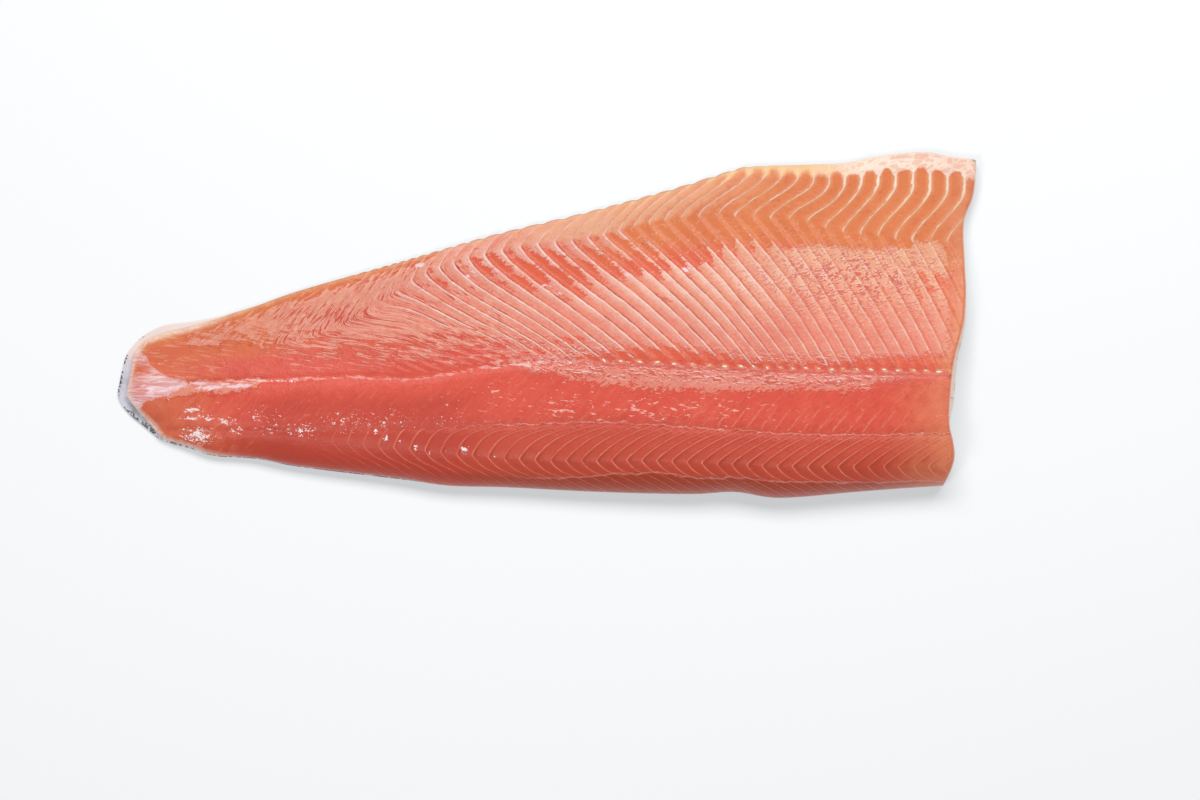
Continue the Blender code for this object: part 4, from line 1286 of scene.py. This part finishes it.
def bone_nodes(material):
    """The node tree that sets a small turned bone end on each place of a row."""
    tree = bpy.data.node_groups.new("pin_bone_row", "GeometryNodeTree")
    tree.interface.new_socket("Geometry", in_out="INPUT", socket_type="NodeSocketGeometry")
    for name in ("Length", "Width"):
        tree.interface.new_socket(name, in_out="INPUT", socket_type="NodeSocketFloat")
    tree.interface.new_socket("Seed", in_out="INPUT", socket_type="NodeSocketInt")
    tree.interface.new_socket("Geometry", in_out="OUTPUT", socket_type="NodeSocketGeometry")

    def node(kind, **settings):
        made = tree.nodes.new(kind)
        made.location.x = 200 * len(tree.nodes)
        for key, value in settings.items():
            setattr(made, key, value)
        return made

    given, result = node("NodeGroupInput"), node("NodeGroupOutput")
    points = node("GeometryNodeMeshToPoints")
    bead = node("GeometryNodeMeshIcoSphere")
    bead.inputs["Radius"].default_value = 0.5
    bead.inputs["Subdivisions"].default_value = 2
    sized = node("ShaderNodeCombineXYZ")
    turn = node("FunctionNodeRandomValue", data_type="FLOAT_VECTOR")
    turn.inputs[0].default_value, turn.inputs[1].default_value = BONE_TURN
    grow = node("FunctionNodeRandomValue", data_type="FLOAT")
    grow.inputs[2].default_value, grow.inputs[3].default_value = BONE_GROW
    scaled = node("ShaderNodeVectorMath", operation="SCALE")
    placed = node("GeometryNodeInstanceOnPoints")
    joined = node("GeometryNodeRealizeInstances")
    painted = node("GeometryNodeSetMaterial")
    painted.inputs["Material"].default_value = material
    for source, output, target, socket in (
        (given, "Geometry", points, "Mesh"),
        (given, "Length", sized, "X"),
        (given, "Width", sized, "Y"),
        (given, "Width", sized, "Z"),
        (given, "Seed", turn, "Seed"),
        (given, "Seed", grow, "Seed"),
        (sized, 0, scaled, 0),
        (grow, 1, scaled, "Scale"),
        (points, 0, placed, "Points"),
        (bead, "Mesh", placed, "Instance"),
        (turn, 0, placed, "Rotation"),
        (scaled, 0, placed, "Scale"),
        (placed, 0, joined, 0),
        (joined, 0, painted, "Geometry"),
        (painted, 0, result, 0),
    ):
        tree.links.new(source.outputs[output], target.inputs[socket])
    return tree


class FILLET_OT_bones(bpy.types.Operator):
    """Set the row of cut pin bones where the slope's flakes end"""

    bl_idname = "fillet.bones"
    bl_label = "Pin bones"

    def execute(self, context):
        look = context.scene.fillet.bones
        coarse = [resampled(line, EDGE_STEP) for line in cut_outline(FLESH_SIDE)]
        xs = np.linspace(*((np.array(BONE_ENDS) - 0.5) * LENGTH), 4000)
        ys = guide(PIN_BONES, xs) + BONE_LIFT
        counts = belly_phase(xs, ys)
        at = np.interp(np.arange(np.ceil(counts[0]), counts[-1]), counts, xs)
        off_x, off_y = np.random.default_rng(look.seed).uniform(-look.stray, look.stray, (2, len(at)))
        at = at + off_x
        ys = guide(PIN_BONES, at) + BONE_LIFT + off_y * STRAY_ACROSS
        row = np.column_stack([at, ys, flesh_top(at, ys, coarse)])
        base = bpy.data.meshes.new("pin_bones")
        base.from_pydata(row.tolist(), [], [])
        holder = bpy.data.objects.new("pin_bones_row", base)
        context.scene.collection.objects.link(holder)
        material = bone_material(look)
        tree = bone_nodes(material)
        modifier = holder.modifiers.new("Bones", "NODES")
        modifier.node_group = tree
        given = {"Length": look.length, "Width": look.width, "Seed": look.seed}
        for item in tree.interface.items_tree:
            if item.in_out == "INPUT" and item.name in given:
                modifier[item.identifier] = given[item.name]
        context.view_layer.update()
        graph = context.evaluated_depsgraph_get()
        mesh = bpy.data.meshes.new_from_object(holder.evaluated_get(graph))
        bpy.data.objects.remove(holder)
        mesh.shade_smooth()
        add_piece("pin_bones", mesh, material)
        return {"FINISHED"}


def add_lamp(name, power, place, aim, width, depth):
    """Adds a soft rectangular lamp that the camera doesn't see."""
    data = bpy.data.lights.new(name, "AREA")
    data.shape, data.size, data.size_y = "RECTANGLE", width, depth
    data.energy, data.color = power, LAMP_COLOUR
    lamp = bpy.data.objects.new(name, data)
    lamp.location = place
    lamp.rotation_euler = (Vector(aim) - Vector(place)).to_track_quat("-Z", "Y").to_euler()
    lamp.visible_camera = False
    bpy.context.scene.collection.objects.link(lamp)


class FILLET_OT_stage(bpy.types.Operator):
    """Set the board, the lamps and the camera that looks straight down"""

    bl_idname = "fillet.stage"
    bl_label = "Stage"

    def execute(self, context):
        look, scene = context.scene.fillet.stage, context.scene
        board = bpy.data.meshes.new("board")
        bm = bmesh.new()
        bmesh.ops.create_grid(bm, x_segments=1, y_segments=1, size=BOARD_HALF)
        bmesh.ops.translate(bm, verts=bm.verts, vec=(0, 0, CAD_BOX[0].z - BOARD_GAP))
        bm.to_mesh(board)
        bm.free()
        g = Graph("board")
        g.colour = look.board
        cloud = g.noise(g.place, 3, 2)
        g.lay((cloud + 0.5) * 0.03, BOARD_GREY)
        board.materials.append(g.finish(cloud, BUMP / 10, Roughness=0.7, Specular_IOR_Level=0.2))
        obj = bpy.data.objects.new("board", board)
        scene.collection.objects.link(obj)
        world = bpy.data.worlds.new("studio")
        world.use_nodes = True
        sky = world.node_tree.nodes["Background"]
        sky.inputs["Color"].default_value = (*SKY_COLOUR, 1)
        sky.inputs["Strength"].default_value = look.sky
        scene.world = world
        add_lamp("softbox", look.softbox, *SOFTBOX)
        add_lamp("fill", look.fill, *FILL)
        camera = bpy.data.cameras.new("camera")
        camera.sensor_width = SENSOR
        camera.lens = SENSOR * (look.camera_height - VIEW_LEVEL) / VIEW_WIDTH
        seen_from = bpy.data.objects.new("camera", camera)
        seen_from.location = (*VIEW_CENTRE, look.camera_height)
        scene.collection.objects.link(seen_from)
        scene.camera = seen_from
        scene.view_settings.view_transform = "Standard"
        return {"FINISHED"}


class FILLET_PT_panel(bpy.types.Panel):
    """The fillet's pieces and their sizes and colours"""

    bl_idname = "FILLET_PT_panel"
    bl_label = "Trout Fillet"
    bl_space_type = "VIEW_3D"
    bl_region_type = "UI"
    bl_category = "Fillet"

    def draw(self, context):
        looks = context.scene.fillet
        for operator, look in zip(OPERATORS, (looks.stage, looks.flesh, looks.skin, looks.bones)):
            box = self.layout.box()
            box.operator(operator.bl_idname)
            for name in look.__annotations__:
                box.prop(look, name)


OPERATORS = (FILLET_OT_stage, FILLET_OT_flesh, FILLET_OT_skin, FILLET_OT_bones)
CLASSES = (FleshLook, SkinLook, BoneLook, StageLook, FilletLook, *OPERATORS, FILLET_PT_panel)


def register():
    for made in CLASSES:
        bpy.utils.register_class(made)
    bpy.types.Scene.fillet = PointerProperty(type=FilletLook)


def unregister():
    del bpy.types.Scene.fillet
    for made in reversed(CLASSES):
        bpy.utils.unregister_class(made)


def main():
    register()
    bpy.ops.fillet.stage()
    bpy.ops.fillet.flesh()
    bpy.ops.fillet.skin()
    bpy.ops.fillet.bones()


if __name__ == "__main__":
    main()
